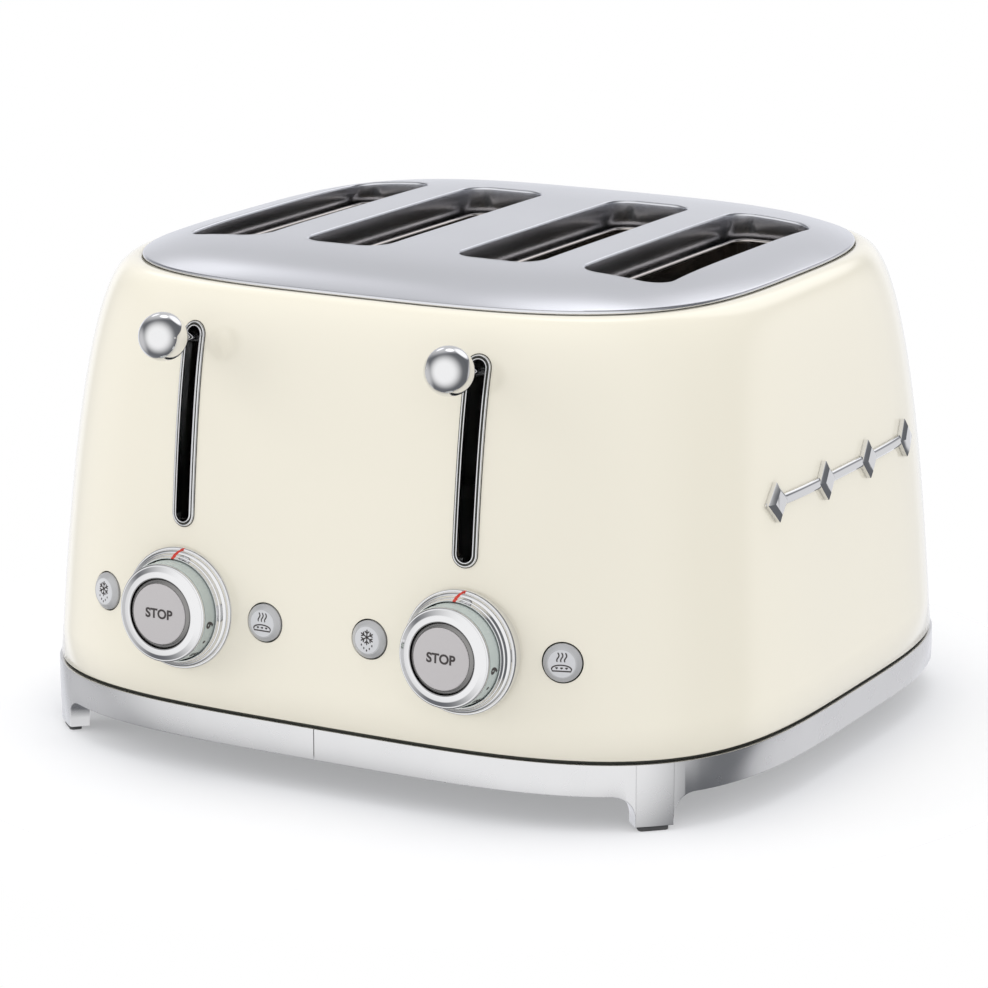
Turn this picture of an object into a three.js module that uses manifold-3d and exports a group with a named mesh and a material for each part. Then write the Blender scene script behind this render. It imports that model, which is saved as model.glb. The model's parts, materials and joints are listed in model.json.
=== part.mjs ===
// A retro four-slot toaster: a soft square enamelled shell on a polished base ring,
// with a domed steel top plate, two lever-and-dial sets on the front and the works inside.
// Millimetres, +Z up, the front faces -Y, and the base rests on z = 0.
import * as THREE from 'three';
import { mergeVertices } from 'three/addons/utils/BufferGeometryUtils.js';
import Module from 'manifold-3d';

const wasm = await Module();
wasm.setup();

// ---------------------------------------------------------------- driving dimensions
// Body outline: a superellipse that tapers upwards and rolls over into a shoulder.
const halfWidth = 165.5;
const halfDepth = 153.0;
const baseSquareness = 3.75;
const rimSquareness = 3.41;
const sideTaper = 11.0;
const sideShoulder = 19.5;
const frontTaper = 10.1;
const frontShoulder = 19.0;
const shoulderSharpness = 3.0;
const shellRim = 196.0;
const shellWall = 1.0;
const outlineSteps = 36;
const skinLevels = [0, 0.3, 0.55, 0.72, 0.84, 0.915, 0.96, 0.985, 1];

const flatness = 0.002;

// Fits: the gap between fixed pieces, and the wider one beside pieces that move.
const seam = 0.35;
const running = 0.4;

// Base ring, its legs, the dark gasket over it and the floor pan inside it.
const ringProud = 0.8;
const ringLow = 14.3;
const ringHeight = 12.7;
const ringWall = 2.0;
const legWidth = 15.3;
const legFillet = 9.0;
const legDepth = 7.0;
const padHeight = 1.5;
const padWidth = 12.0;
const padDepth = 5.0;
const padCorner = 1.5;
const gasketHeight = 1.1;
const gasketInset = 1.0;
const gasketWidth = 5.0;
const floorThickness = 1.0;
const floorRise = 0.9;
const ventLength = 60;
const ventWidth = 5;
const ventPitch = 14;
const ventCorner = 2.4;
const ventCount = 2;

// Top plate, the flanges drawn down round its four bread slots, and the collars inside them.
const plateRoll = 0.9;
const plateDome = 8.9;
const plateDomeSharpness = 6.9;
const plateThickness = 1.2;
const plateLevels = [0.6, 0.8, 0.92, 0.98, 1];
const innerSlotX = 35.3;
const outerSlotX = 92.0;
const slotWidth = 38.0;
const slotLength = 145.0;
const slotCorner = 10.5;
const flangeWall = 0.8;
const flangeDrop = 2.0;
const collarWall = 0.8;
const collarInset = 2.5;
const collarRise = 9.0;
const collarDrop = 10.0;
const slotSheetDrop = 10.0;
const slotSheetThickness = 1.0;
const slotSheetMargin = 12.0;

// Front controls: one set on each side of the middle.
const setX = 64.6;
const dialZ = 67.4;
const dialTilt = 3.5;
const bezelProud = 6.8;
const bezelSleeve = 0.7;
const bezelRoll = 1.6;
const bandRadius = 20.4;
const bezelReach = 4.6;
const bandFlare = 0.35;
const bandBase = 1.0;
const bandTop = 12.7;
const bandWall = 1.8;
const hubWall = 1.5;
const hubDepth = 10.0;
const capTop = 15.6;
const capBevel = 2.6;
const capSleeve = 1.3;
const capDepth = 8.0;
const stopInset = 6.5;
const stopTop = 16.1;
const stopThickness = 3.7;
const stopStemRadius = 5.0;
const stopStemDepth = 14.0;
const buttonOffset = 40.5;
const buttonZ = 66.9;
const buttonRadius = 7.85;
const buttonFaceRadius = 5.5;
const buttonProud = 2.0;
const buttonEdge = 0.5;
const buttonShankRadius = 5.5;
const buttonShankDepth = 8.0;
const buttonSteps = 20;
const turnSteps = 24;
const cornerSteps = 3;

// Lever, its slot in the shell and the travel it needs.
const leverTravel = 68.0;
const leverSlotDrop = 13.8;
const leverSlotMargin = 14.1;
const trimWidth = 11.0;
const trimOpening = 6.2;
const trimProud = 1.1;
const trimThroat = 1.1;
const trimDepth = 3.0;
const ballRadius = 9.8;
const ballGap = 13.7;
const ballDrop = 2.2;
const stemRadius = 2.3;
const stemRise = 11.0;
const stemReach = 7.8;

// Works inside: end plates, guide rods, carriages, racks, cages and heaters.
const endPlateGap = 5.5;
const endPlateReach = 22.0;
const sheet = 1.0;
const worksLow = 29.0;
const shieldInset = 1.0;
const rodGap = 12.0;
const rodRadius = 3.0;
const bushRadius = 6.0;
const bushHeight = 12.0;
const carriageZ = 112.0;
const barHeight = 6.0;
const barDepth = 7.7;
const barOverhang = 6.0;
const armWidth = 3.0;
const rackTop = 118.0;
const rackSpine = 4.0;
const slatInset = 7.0;
const slatWidth = 3.0;
const slatThickness = 2.0;
const slatPitch = 28.0;
const cageInset = 3.0;
const cageRail = 1.6;
const cageWire = 1.2;
const cageLow = 40.0;
const cageDrop = 11.0;
const cageWirePitch = 28.0;
const cageWireSteps = [-2, -1, 0, 1, 2];
const heaterLow = 46.0;
const heaterDrop = 20.0;
const heaterInset = 2.5;
const heaterThickness = 0.8;
const notchPitch = 30.0;
const notchHeight = 4.0;
const notchDepth = 1.5;
const middleHeaterX = 7.0;
const springTurns = 8;
const springTurnSteps = 8;
const springRadius = 4.6;
const springWire = 0.9;
const stopTravel = 2.0;
const boardGap = 5.2;
const boardThickness = 1.6;
const boardHalfWidth = 45.0;
const boardLow = 45.0;
const boardHigh = 96.0;
const magnetWidth = 18.0;
const magnetDepth = 14.0;
const magnetGap = 14.0;
const magnetCore = 3.0;
const relaySize = [18, 13.2, 16];
const chipSize = [14, 2.7, 8];
const plugSize = [14, 8.2, 8];
const partSink = 0.2;
const partMargin = 6.0;
const capacitorRadius = 5.0;
const capacitorHeight = 14.0;
const terminalLow = [-80, 94];
const terminalSize = [40, 18, 10];
const terminalPost = [8, 14, 8];
const terminalPitch = 12.0;

// Crumb trays, the cord gland and the trim on the right-hand side.
const trayInnerReach = 1.3;
const trayOuterReach = 2.0;
const trayTop = 24.0;
const trayFloor = 17.2;
const trayWall = 0.8;
const trayFrontGap = 2.0;
const traySide = 2.0;
const trayLip = 0.5;
const glandRadius = 4.1;
const glandBore = 3.1;
const glandFlange = 5.8;
const glandProud = 1.5;
const glandLength = 9.0;
const sideTrimZ = 119.0;
const sideTrimMiddleY = -1.0;
const sideTrimPitch = 41.4;
const sideTrimHeight = 4.4;
const lozengeWidth = 14.0;
const lozengeHeight = 16.0;
const sideTrimProud = 2.2;
const lozengeProud = 3.4;

// ---------------------------------------------------------------- worked-out places
const ringHigh = ringLow + ringHeight;
const gasketLow = ringHigh + seam;
const shellLow = gasketLow + gasketHeight + seam;
const plateLow = shellRim + seam + 0.15;
const ringOuter = ringProud;
const ringInner = ringProud - ringWall;
const floorLow = ringLow + floorRise;
const glandZ = ringLow + ringHeight / 2;
const slotXs = [-outerSlotX, -innerSlotX, innerSlotX, outerSlotX];
const slotNames = ['far_left', 'mid_left', 'mid_right', 'far_right'];
const betweenX = (innerSlotX + outerSlotX) / 2;
const outsideX = outerSlotX + betweenX - innerSlotX;
const sides = [['left', -1], ['right', 1]];
const flangeLow = shellRim - flangeDrop;
const slotSheetZ = shellRim - slotSheetDrop;
const collarTop = slotSheetZ + collarRise;
const rodHigh = slotSheetZ - seam;
const rodX = betweenX;
const endPlateY = slotLength / 2 + endPlateGap;
const endPlateHalfWidth = outerSlotX + slotWidth / 2 + endPlateReach;
const rodY = -endPlateY - rodGap;
const rackArmEndY = rodY + barDepth - 2.0;
const magnetY = rodY - magnetGap;
const cageHalfGap = slotWidth / 2 - cageInset;
const cageHigh = slotSheetZ - cageDrop;
const heaterHigh = slotSheetZ - heaterDrop;
const heaterHalfLength = slotLength / 2 - heaterInset;
const trayInnerX = innerSlotX - cageHalfGap - trayInnerReach;
const trayOuterX = outerSlotX + cageHalfGap + trayOuterReach;
const trayFront = -endPlateY - trayFrontGap;
const leverSlotHigh = shellRim - leverSlotDrop;
const ballZ = leverSlotHigh - ballDrop;
const leverSlotLow = leverSlotHigh - leverTravel - leverSlotMargin;
const cutterReach = 20;
const bezelRadius = bandRadius + bezelReach;
const stopRadius = bandRadius - stopInset;
const dialHole = bandRadius + bezelSleeve + 2 * running;

// ---------------------------------------------------------------- solids from three.js geometry
function toSolid(geometry) {
  const bare = geometry.clone();
  bare.deleteAttribute('normal');
  bare.deleteAttribute('uv');
  const merged = mergeVertices(bare, 1e-4);
  const place = merged.attributes.position.array;
  const corners = merged.index.array;
  const kept = [];
  let volume = 0;
  for (let k = 0; k < corners.length; k += 3) {
    const [a, b, c] = [corners[k], corners[k + 1], corners[k + 2]];
    if (a === b || b === c || c === a) continue;
    kept.push(a, b, c);
    const [p, q, r] = [a, b, c].map((v) => new THREE.Vector3().fromArray(place, 3 * v));
    volume += p.dot(q.cross(r));
  }
  if (volume < 0) kept.reverse();
  const mesh = new wasm.Mesh({
    numProp: 3,
    vertProperties: Float32Array.from(place),
    triVerts: Uint32Array.from(kept),
  });
  return new wasm.Manifold(mesh);
}

// Flat faces that the cuts left split are merged again on the way back.
function toGeometry(solid) {
  const mesh = solid.asOriginal().simplify(flatness).getMesh();
  const geometry = new THREE.BufferGeometry();
  geometry.setAttribute('position', new THREE.BufferAttribute(mesh.vertProperties, 3));
  geometry.setIndex(new THREE.BufferAttribute(mesh.triVerts, 1));
  geometry.computeVertexNormals();
  return geometry;
}

const join = (first, ...others) => others.reduce((whole, next) => whole.add(next), first);
const cut = (first, ...others) => others.reduce((whole, next) => whole.subtract(next), first);

// A box from its lowest and highest corner.
function block(low, high) {
  const size = high.map((value, k) => value - low[k]);
  const geometry = new THREE.BoxGeometry(...size);
  geometry.translate(low[0] + size[0] / 2, low[1] + size[1] / 2, low[2] + size[2] / 2);
  return toSolid(geometry);
}

// The same box on the other side of the middle when side is -1.
function sideBlock(side, low, high) {
  const xs = [side * low[0], side * high[0]].sort((a, b) => a - b);
  return block([xs[0], low[1], low[2]], [xs[1], high[1], high[2]]);
}

// A turned piece about Z from [radius, height] points that close on themselves.
function turned(profile, steps = turnSteps) {
  const path = [...profile, profile[0]].map(([radius, height]) => new THREE.Vector2(radius, height));
  const geometry = new THREE.LatheGeometry(path, steps);
  geometry.rotateX(Math.PI / 2);
  return geometry;
}

function cylinder(radius, low, high, steps = turnSteps) {
  const geometry = new THREE.CylinderGeometry(radius, radius, high - low, steps);
  geometry.rotateX(Math.PI / 2);
  geometry.translate(0, 0, (low + high) / 2);
  return geometry;
}

// A rounded rectangle centred on the origin; half its height as the corner gives a stadium.
function roundedShape(width, height, corner) {
  const [x, y] = [width / 2 - corner, height / 2 - corner];
  const shape = new THREE.Shape();
  shape.absarc(x, y, corner, 0, Math.PI / 2);
  shape.absarc(-x, y, corner, Math.PI / 2, Math.PI);
  shape.absarc(-x, -y, corner, Math.PI, 1.5 * Math.PI);
  shape.absarc(x, -y, corner, 1.5 * Math.PI, 2 * Math.PI);
  return shape;
}

function extruded(shape, depth, curveSegments = cornerSteps) {
  return new THREE.ExtrudeGeometry(shape, { depth, bevelEnabled: false, curveSegments });
}

// A rounded-rectangle column between two heights.
function column(x, width, length, corner, low, high) {
  const geometry = extruded(roundedShape(width, length, corner), high - low);
  geometry.translate(x, 0, low);
  return toSolid(geometry);
}

// ---------------------------------------------------------------- the body's outline
function section(z) {
  const t = THREE.MathUtils.clamp((z - shellLow) / (shellRim - shellLow), 0, 1);
  const shoulder = 1 - (1 - t ** shoulderSharpness) ** (1 / shoulderSharpness);
  return {
    a: halfWidth - sideTaper * t - sideShoulder * shoulder,
    b: halfDepth - frontTaper * t - frontShoulder * shoulder,
    n: baseSquareness + (rimSquareness - baseSquareness) * t ** 2,
    z,
  };
}

const grown = (row, by) => ({ ...row, a: row.a + by, b: row.b + by });

function outlinePoint(row, angle) {
  const [c, s] = [Math.cos(angle), Math.sin(angle)];
  const power = 2 / row.n;
  return [
    row.a * Math.sign(c) * Math.abs(c) ** power,
    row.b * Math.sign(s) * Math.abs(s) ** power,
  ];
}

// A solid whose rows are superellipses: the rows start and end on the axis or close on themselves.
function loft(rows) {
  const path = rows.map((row) => new THREE.Vector2(row.a, row.z));
  const geometry = new THREE.LatheGeometry(path, outlineSteps);
  const place = geometry.attributes.position;
  for (let step = 0; step <= outlineSteps; step++) {
    const angle = (2 * Math.PI * (step % outlineSteps)) / outlineSteps;
    rows.forEach((row, k) => {
      const [x, y] = outlinePoint(row, angle);
      place.setXYZ(step * rows.length + k, x, y, row.z);
    });
  }
  return toSolid(geometry);
}

const onAxis = (row) => ({ ...row, a: 0, b: 0 });
const solidLoft = (rows) => loft([onAxis(rows[0]), ...rows, onAxis(rows.at(-1))]);
const ringLoft = (rows) => loft([...rows, rows[0]]);

// A straight-walled band of the base outline between two offsets and two heights.
function baseBand(inner, outer, low, high) {
  const base = section(shellLow);
  return ringLoft([
    { ...grown(base, outer), z: low },
    { ...grown(base, outer), z: high },
    { ...grown(base, inner), z: high },
    { ...grown(base, inner), z: low },
  ]);
}

// The shell's rows, moved along the surface's own slope by an offset.
function skinRows(offset) {
  return skinLevels.map((t) => {
    const z = shellLow + t * (shellRim - shellLow);
    const row = section(z);
    const step = 0.02;
    const [below, above] = [section(z - step), section(Math.min(z + step, shellRim))];
    const lean = t === 1 ? Infinity : (below.a - above.a + below.b - above.b) / 2 / (above.z - below.z);
    const slope = Math.atan(lean);
    return { ...grown(row, offset * Math.cos(slope)), z: z + offset * Math.sin(slope) };
  });
}

const skin = (offset) => solidLoft(skinRows(offset));

// The front surface's depth, and its outward direction, at a place on the front.
function frontY(x, z) {
  const { a, b, n } = section(z);
  return -b * (1 - Math.abs(x / a) ** n) ** (1 / n);
}

function frontNormal(x, z) {
  const step = 0.5;
  const slopeX = (frontY(x + step, z) - frontY(x - step, z)) / (2 * step);
  const slopeZ = (frontY(x, z + step) - frontY(x, z - step)) / (2 * step);
  return new THREE.Vector3(slopeX, -1, slopeZ).normalize();
}

// Turns a piece made about +Z so that +Z points outwards from a place on the front.
function facing(x, z, outward) {
  const matrix = new THREE.Matrix4();
  const turn = new THREE.Quaternion().setFromUnitVectors(new THREE.Vector3(0, 0, 1), outward);
  return matrix.compose(new THREE.Vector3(x, frontY(x, z), z), turn, new THREE.Vector3(1, 1, 1));
}

const tilt = THREE.MathUtils.degToRad(dialTilt);
const dialOutward = new THREE.Vector3(0, -Math.cos(tilt), Math.sin(tilt));
const dialPlace = (side) => facing(side * setX, dialZ, dialOutward);
const buttonX = (side, offset) => side * (setX + offset);
const buttonPlace = (x) => facing(x, buttonZ, frontNormal(x, buttonZ));
const placed = (geometry, matrix) => toSolid(geometry.applyMatrix4(matrix));

// Places measured from the front surface.
const ballY = frontY(setX, ballZ) - ballGap - ballRadius;
const stemEndY = frontY(setX, ballZ) + stemReach;
const boardY = frontY(setX, dialZ) + stopStemDepth + stopTravel + boardGap;

function finish(color, roughness, metalness) {
  return new THREE.MeshStandardMaterial({ color, roughness, metalness });
}

const finishes = {
  enamel: () => finish(0xf1ead6, 0.18, 0.0),
  satinSteel: () => finish(0xcdcfd6, 0.28, 1.0),
  chrome: () => finish(0xe4e4e6, 0.08, 1.0),
  aluminium: () => finish(0xd4d4d4, 0.3, 1.0),
  darkSeal: () => finish(0x23241d, 0.6, 0.0),
  rubber: () => finish(0x4b4b4a, 0.8, 0.0),
  sheetSteel: () => finish(0x8f9193, 0.4, 1.0),
  liner: () => finish(0x77787a, 0.3, 1.0),
  mica: () => finish(0xb9a57c, 0.6, 0.0),
  wire: () => finish(0xb4b4b4, 0.3, 1.0),
  circuit: () => finish(0x2f6b3c, 0.5, 0.0),
  coil: () => finish(0x8a5a2b, 0.45, 0.3),
  ceramic: () => finish(0xe8e4da, 0.4, 0.0),
  numberBand: () => finish(0xc9cfc2, 0.55, 0.0),
  silver: () => finish(0xc6c5c4, 0.35, 0.6),
  paleGrey: () => finish(0xcfcbc8, 0.45, 0.1),
};

const toaster = new THREE.Group();

function add(name, solid, look) {
  const mesh = new THREE.Mesh(toGeometry(solid), look());
  mesh.name = name;
  toaster.add(mesh);
}

// ---------------------------------------------------------------- shell, gasket and side trim
const outerSkin = skin(0);
const trimBed = skin(seam);
const trimSkin = skin(trimProud);

// A stadium prism that runs through the front wall, over the lever slot.
function leverStadium(side, width) {
  const inset = (trimWidth - width) / 2;
  const height = leverSlotHigh - leverSlotLow - 2 * inset;
  const geometry = extruded(roundedShape(width, height, width / 2), halfDepth, 4);
  geometry.rotateX(Math.PI / 2);
  geometry.translate(side * setX, -halfDepth / 3, (leverSlotHigh + leverSlotLow) / 2);
  return toSolid(geometry);
}

function bodyShell() {
  const outer = skinRows(0);
  const inner = skinRows(-shellWall).reverse();
  inner[inner.length - 1].z = shellLow;
  const openings = [];
  for (const [, side] of sides) {
    openings.push(leverStadium(side, trimOpening + 2 * (trimThroat + seam)));
    openings.push(placed(cylinder(dialHole, -cutterReach, cutterReach), dialPlace(side)));
    for (const offset of [-buttonOffset, buttonOffset]) {
      const hole = cylinder(buttonRadius + seam, -cutterReach, cutterReach, buttonSteps);
      openings.push(placed(hole, buttonPlace(buttonX(side, offset))));
    }
  }
  return cut(ringLoft([...outer, ...inner]), ...openings);
}

function leverSlotTrim(side) {
  const flange = leverStadium(side, trimWidth).intersect(cut(trimSkin, trimBed));
  const throatWidth = trimOpening + 2 * trimThroat;
  const throat = leverStadium(side, throatWidth).intersect(cut(trimSkin, skin(-trimDepth)));
  return cut(join(flange, throat), leverStadium(side, trimOpening));
}

// A prism along X over the right-hand side, from a shape drawn in Y and Z.
function sidePrism(shape, y) {
  const geometry = extruded(shape, halfWidth);
  geometry.rotateX(Math.PI / 2);
  geometry.rotateZ(Math.PI / 2);
  geometry.translate(halfWidth / 3, y, sideTrimZ);
  return toSolid(geometry);
}

function sideTrim() {
  const barLength = 3 * sideTrimPitch + lozengeWidth;
  const bar = sidePrism(roundedShape(barLength, sideTrimHeight, sideTrimHeight / 2), sideTrimMiddleY);
  const strip = bar.intersect(cut(skin(sideTrimProud), trimBed));
  const lozenge = new THREE.Shape([
    new THREE.Vector2(lozengeWidth / 2, 0),
    new THREE.Vector2(0, lozengeHeight / 2),
    new THREE.Vector2(-lozengeWidth / 2, 0),
    new THREE.Vector2(0, -lozengeHeight / 2),
  ]);
  const lozengeSkin = cut(skin(lozengeProud), trimBed);
  const places = [-1.5, -0.5, 0.5, 1.5].map((step) => sideTrimMiddleY + step * sideTrimPitch);
  return join(strip, ...places.map((y) => sidePrism(lozenge, y).intersect(lozengeSkin)));
}

function baseGasket() {
  return baseBand(-gasketInset - gasketWidth, -gasketInset, gasketLow, gasketLow + gasketHeight);
}

// ---------------------------------------------------------------- base ring, legs and floor pan
const cornerAngles = [
  ['front_left', -0.75],
  ['front_right', -0.25],
  ['rear_right', 0.25],
  ['rear_left', 0.75],
];

// A frame at a corner of the base outline: its place, and the directions out and along.
function corner(quarter, inset) {
  const outline = { ...grown(section(shellLow), ringOuter), z: 0 };
  const [x, y] = outlinePoint(outline, quarter * Math.PI);
  const out = new THREE.Vector3(Math.sign(x) / outline.a, Math.sign(y) / outline.b, 0).normalize();
  const matrix = new THREE.Matrix4();
  const along = new THREE.Vector3(0, 0, 1).cross(out);
  matrix.makeBasis(along, new THREE.Vector3(0, 0, 1), out);
  matrix.setPosition(new THREE.Vector3(x, y, 0).addScaledVector(out, -inset));
  return matrix;
}

// A leg's face: straight sides that sweep out into the ring's lower edge.
function legShape() {
  const [half, low, high] = [legWidth / 2, padHeight + seam, ringLow + seam];
  const shape = new THREE.Shape();
  shape.moveTo(-half, low);
  shape.lineTo(half, low);
  shape.lineTo(half, ringLow - legFillet);
  shape.absarc(half + legFillet, ringLow - legFillet, legFillet, Math.PI, Math.PI / 2, true);
  shape.lineTo(half + legFillet, high);
  shape.lineTo(-half - legFillet, high);
  shape.lineTo(-half - legFillet, ringLow);
  shape.absarc(-half - legFillet, ringLow - legFillet, legFillet, Math.PI / 2, 0, true);
  return shape;
}

function baseRingWhole() {
  const wall = baseBand(ringInner, ringOuter, ringLow, ringHigh);
  const legWall = baseBand(ringOuter - legDepth, ringOuter, padHeight + seam, ringLow + seam);
  const reach = 4 * legDepth;
  const legs = cornerAngles.map(([, quarter]) => {
    const prism = extruded(legShape(), reach, 4);
    return placed(prism, corner(quarter, reach / 2)).intersect(legWall);
  });
  return join(wall, ...legs);
}

function trayWindow(side, gap) {
  const deep = halfDepth + 2 * ringProud + 10;
  return sideBlock(side, [trayInnerX - gap, halfDepth / 2, 0], [trayOuterX + gap, deep, trayTop + gap]);
}

function glandPiece(profile) {
  const geometry = turned(profile, 16);
  geometry.rotateX(-Math.PI / 2);
  geometry.translate(0, halfDepth + ringOuter, glandZ);
  return toSolid(geometry);
}

const ringWhole = baseRingWhole();

function baseRing(side) {
  const reach = halfWidth + 10;
  const half = sideBlock(side, [seam / 2, -reach, 0], [reach, reach, ringHigh + 1]);
  const bore = cylinder(glandRadius + seam, -cutterReach, cutterReach, 16);
  bore.rotateX(Math.PI / 2);
  bore.translate(0, halfDepth, glandZ);
  return cut(ringWhole.intersect(half), trayWindow(side, seam), toSolid(bore));
}

function footPad(quarter) {
  const geometry = extruded(roundedShape(padWidth, padDepth, padCorner), padHeight, 2);
  geometry.rotateX(-Math.PI / 2);
  return placed(geometry, corner(quarter, legDepth / 2));
}

function bottomCover() {
  const outline = { ...grown(section(shellLow), ringInner - seam), z: 0 };
  const points = [];
  for (let step = 0; step < outlineSteps; step++) {
    points.push(new THREE.Vector2(...outlinePoint(outline, (2 * Math.PI * step) / outlineSteps)));
  }
  const shape = new THREE.Shape(points);
  const pan = extruded(shape, floorThickness);
  pan.translate(0, 0, floorLow);
  const vents = [];
  for (const x of slotXs) {
    for (let row = 0; row < ventCount; row++) {
      const vent = extruded(roundedShape(ventWidth, ventLength, ventCorner), 10, 1);
      vent.translate(x + (row - (ventCount - 1) / 2) * ventPitch, 0, floorLow - 5);
      vents.push(toSolid(vent));
    }
  }
  return cut(toSolid(pan), ...vents);
}

function cordGland() {
  return glandPiece([
    [glandBore, -glandLength],
    [glandRadius, -glandLength],
    [glandRadius, seam],
    [glandFlange, seam],
    [glandFlange, glandProud * 0.6],
    [glandFlange - 0.8, glandProud],
    [glandBore, glandProud],
  ]);
}

// ---------------------------------------------------------------- top plate and slot liner
const domeZ = (share) => plateLow + plateRoll + plateDome * (1 - share ** plateDomeSharpness);

function topPlate() {
  const rim = section(shellRim);
  const row = (share, z) => ({ a: rim.a * share, b: rim.b * share, n: rim.n, z });
  const top = [...plateLevels].reverse().map((share) => row(share, domeZ(share)));
  const underZ = (share) => (share === 1 ? plateLow : domeZ(share) - plateThickness);
  const under = plateLevels.map((share) => row(share, underZ(share)));
  const dome = loft([row(0, domeZ(0) - plateThickness), ...under, ...top, row(0, domeZ(0))]);
  const middle = [...plateLevels].reverse().map((share) => row(share, domeZ(share) - plateThickness / 2));
  const floor = row(1, flangeLow - 1);
  const belowDome = loft([onAxis(floor), floor, ...middle, row(0, domeZ(0) - plateThickness / 2)]);
  const outline = (x, by, low, high) => {
    return column(x, slotWidth + 2 * by, slotLength + 2 * by, slotCorner + by, low, high);
  };
  const flanges = slotXs.map((x) => outline(x, flangeWall, flangeLow, domeZ(0)).intersect(belowDome));
  const slots = slotXs.map((x) => outline(x, 0, flangeLow - 1, domeZ(0) + 1));
  return cut(join(dome, ...flanges), ...slots);
}

function slotFrame() {
  const width = slotWidth - 2 * collarInset;
  const length = slotLength - 2 * collarInset;
  const round = slotCorner - collarInset;
  const low = slotSheetZ - collarDrop;
  const sheetHalfX = outerSlotX + slotWidth / 2 + slotSheetMargin;
  const sheetHalfY = slotLength / 2 + slotSheetMargin;
  const sheetTop = slotSheetZ + slotSheetThickness;
  const base = block([-sheetHalfX, -sheetHalfY, slotSheetZ], [sheetHalfX, sheetHalfY, sheetTop]);
  const outer = slotXs.map((x) => column(x, width, length, round, low, collarTop));
  const inner = slotXs.map((x) => {
    const wall = 2 * collarWall;
    return column(x, width - wall, length - wall, round - collarWall, low - 1, collarTop + 1);
  });
  return cut(join(base, ...outer), ...inner);
}

// ---------------------------------------------------------------- dials and buttons
function dialBezel(side) {
  const bore = bandRadius + running;
  const sleeve = turned([
    [bore, -trimDepth],
    [bore + bezelSleeve, -trimDepth],
    [bore + bezelSleeve, bezelProud / 2],
    [bore, bezelProud / 2],
  ]);
  const [outerStep, middleStep] = [bezelRadius - bezelRoll, bandRadius + running + bezelRoll];
  const steps = turned([
    [bore, -bezelProud],
    [bezelRadius, -bezelProud],
    [bezelRadius, bezelProud / 3],
    [outerStep + bezelRoll / 2, bezelProud * 0.6],
    [outerStep, bezelProud * 0.6],
    [middleStep, bezelProud],
    [bore, bezelProud],
  ]);
  return join(cut(placed(steps, dialPlace(side)), trimBed), placed(sleeve, dialPlace(side)));
}

const capBore = stopRadius + running;
const hubBore = capBore + capSleeve + seam;

function dialBand(side) {
  const profile = [
    [hubBore, -hubDepth],
    [hubBore + hubWall, -hubDepth],
    [hubBore + hubWall, bandBase],
    [bandRadius, bandBase],
    [bandRadius, bandBase + bandWall],
    [bandRadius - bandFlare, bandTop],
    [bandRadius - bandWall, bandTop],
    [bandRadius - bandWall, bandBase + hubWall],
    [hubBore, bandBase + hubWall],
  ];
  return placed(turned(profile), dialPlace(side));
}

function dialCap(side) {
  const profile = [
    [capBore, -capDepth],
    [capBore + capSleeve, -capDepth],
    [capBore + capSleeve, bandTop + seam],
    [bandRadius, bandTop + seam],
    [bandRadius, capTop - capBevel * 0.8],
    [bandRadius - capBevel * 0.3, capTop - capBevel * 0.3],
    [bandRadius - capBevel, capTop],
    [capBore, capTop],
  ];
  return placed(turned(profile), dialPlace(side));
}

function stopButton(side) {
  const disc = placed(cylinder(stopRadius, stopTop - stopThickness, stopTop), dialPlace(side));
  const stem = placed(cylinder(stopStemRadius, -stopStemDepth, stopTop - 1, 16), dialPlace(side));
  return join(disc, stem);
}

function pushButton(x) {
  const rim = buttonProud - buttonEdge;
  const head = new THREE.CylinderGeometry(buttonFaceRadius, buttonRadius, rim, buttonSteps);
  head.rotateX(Math.PI / 2);
  head.translate(0, 0, buttonEdge + rim / 2);
  const collar = cylinder(buttonRadius, -2, buttonEdge, buttonSteps);
  const shank = cylinder(buttonShankRadius, -buttonShankDepth, 0, 10);
  const place = buttonPlace(x);
  return join(placed(head, place), placed(collar, place), placed(shank, place));
}

// ---------------------------------------------------------------- levers, carriages and racks
function leverKnob(side) {
  const slope = THREE.MathUtils.degToRad(stemRise);
  const ball = new THREE.SphereGeometry(ballRadius, 16, 10);
  ball.rotateX(Math.PI / 2);
  ball.translate(side * setX, ballY, ballZ);
  const length = (stemEndY - ballY) / Math.cos(slope);
  const stem = cylinder(stemRadius, 0, length, 12);
  stem.rotateX(-Math.PI / 2 - slope);
  stem.translate(side * setX, ballY, ballZ);
  return join(toSolid(ball), toSolid(stem));
}

const stemEndZ = ballZ - (stemEndY - ballY) * Math.tan(THREE.MathUtils.degToRad(stemRise));

function carriage(side) {
  const barInner = innerSlotX - barOverhang;
  const barOuter = outerSlotX + barOverhang;
  const barHigh = carriageZ + barHeight;
  const bar = sideBlock(side, [barInner, rodY - 2, carriageZ], [barOuter, rackArmEndY - seam, barHigh]);
  const bush = cylinder(bushRadius, carriageZ, carriageZ + bushHeight, 20);
  bush.translate(side * rodX, rodY, 0);
  const half = armWidth / 2;
  const armY = rodY - bushRadius - 2;
  const foot = sideBlock(side, [setX - half, armY - 4, carriageZ], [setX + half, rodY - 4, barHigh]);
  const post = sideBlock(side, [setX - half, armY - 4, carriageZ], [setX + half, armY, stemEndZ + 3]);
  const tongueEnd = stemEndY + 2 * seam;
  const tongue = sideBlock(side, [setX - half, tongueEnd, stemEndZ - 3], [setX + half, armY, stemEndZ + 3]);
  const rodHole = cylinder(rodRadius + running, carriageZ - 1, carriageZ + bushHeight + 1, 20);
  rodHole.translate(side * rodX, rodY, 0);
  return cut(join(bar, toSolid(bush), foot, post, tongue), toSolid(rodHole));
}

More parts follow.
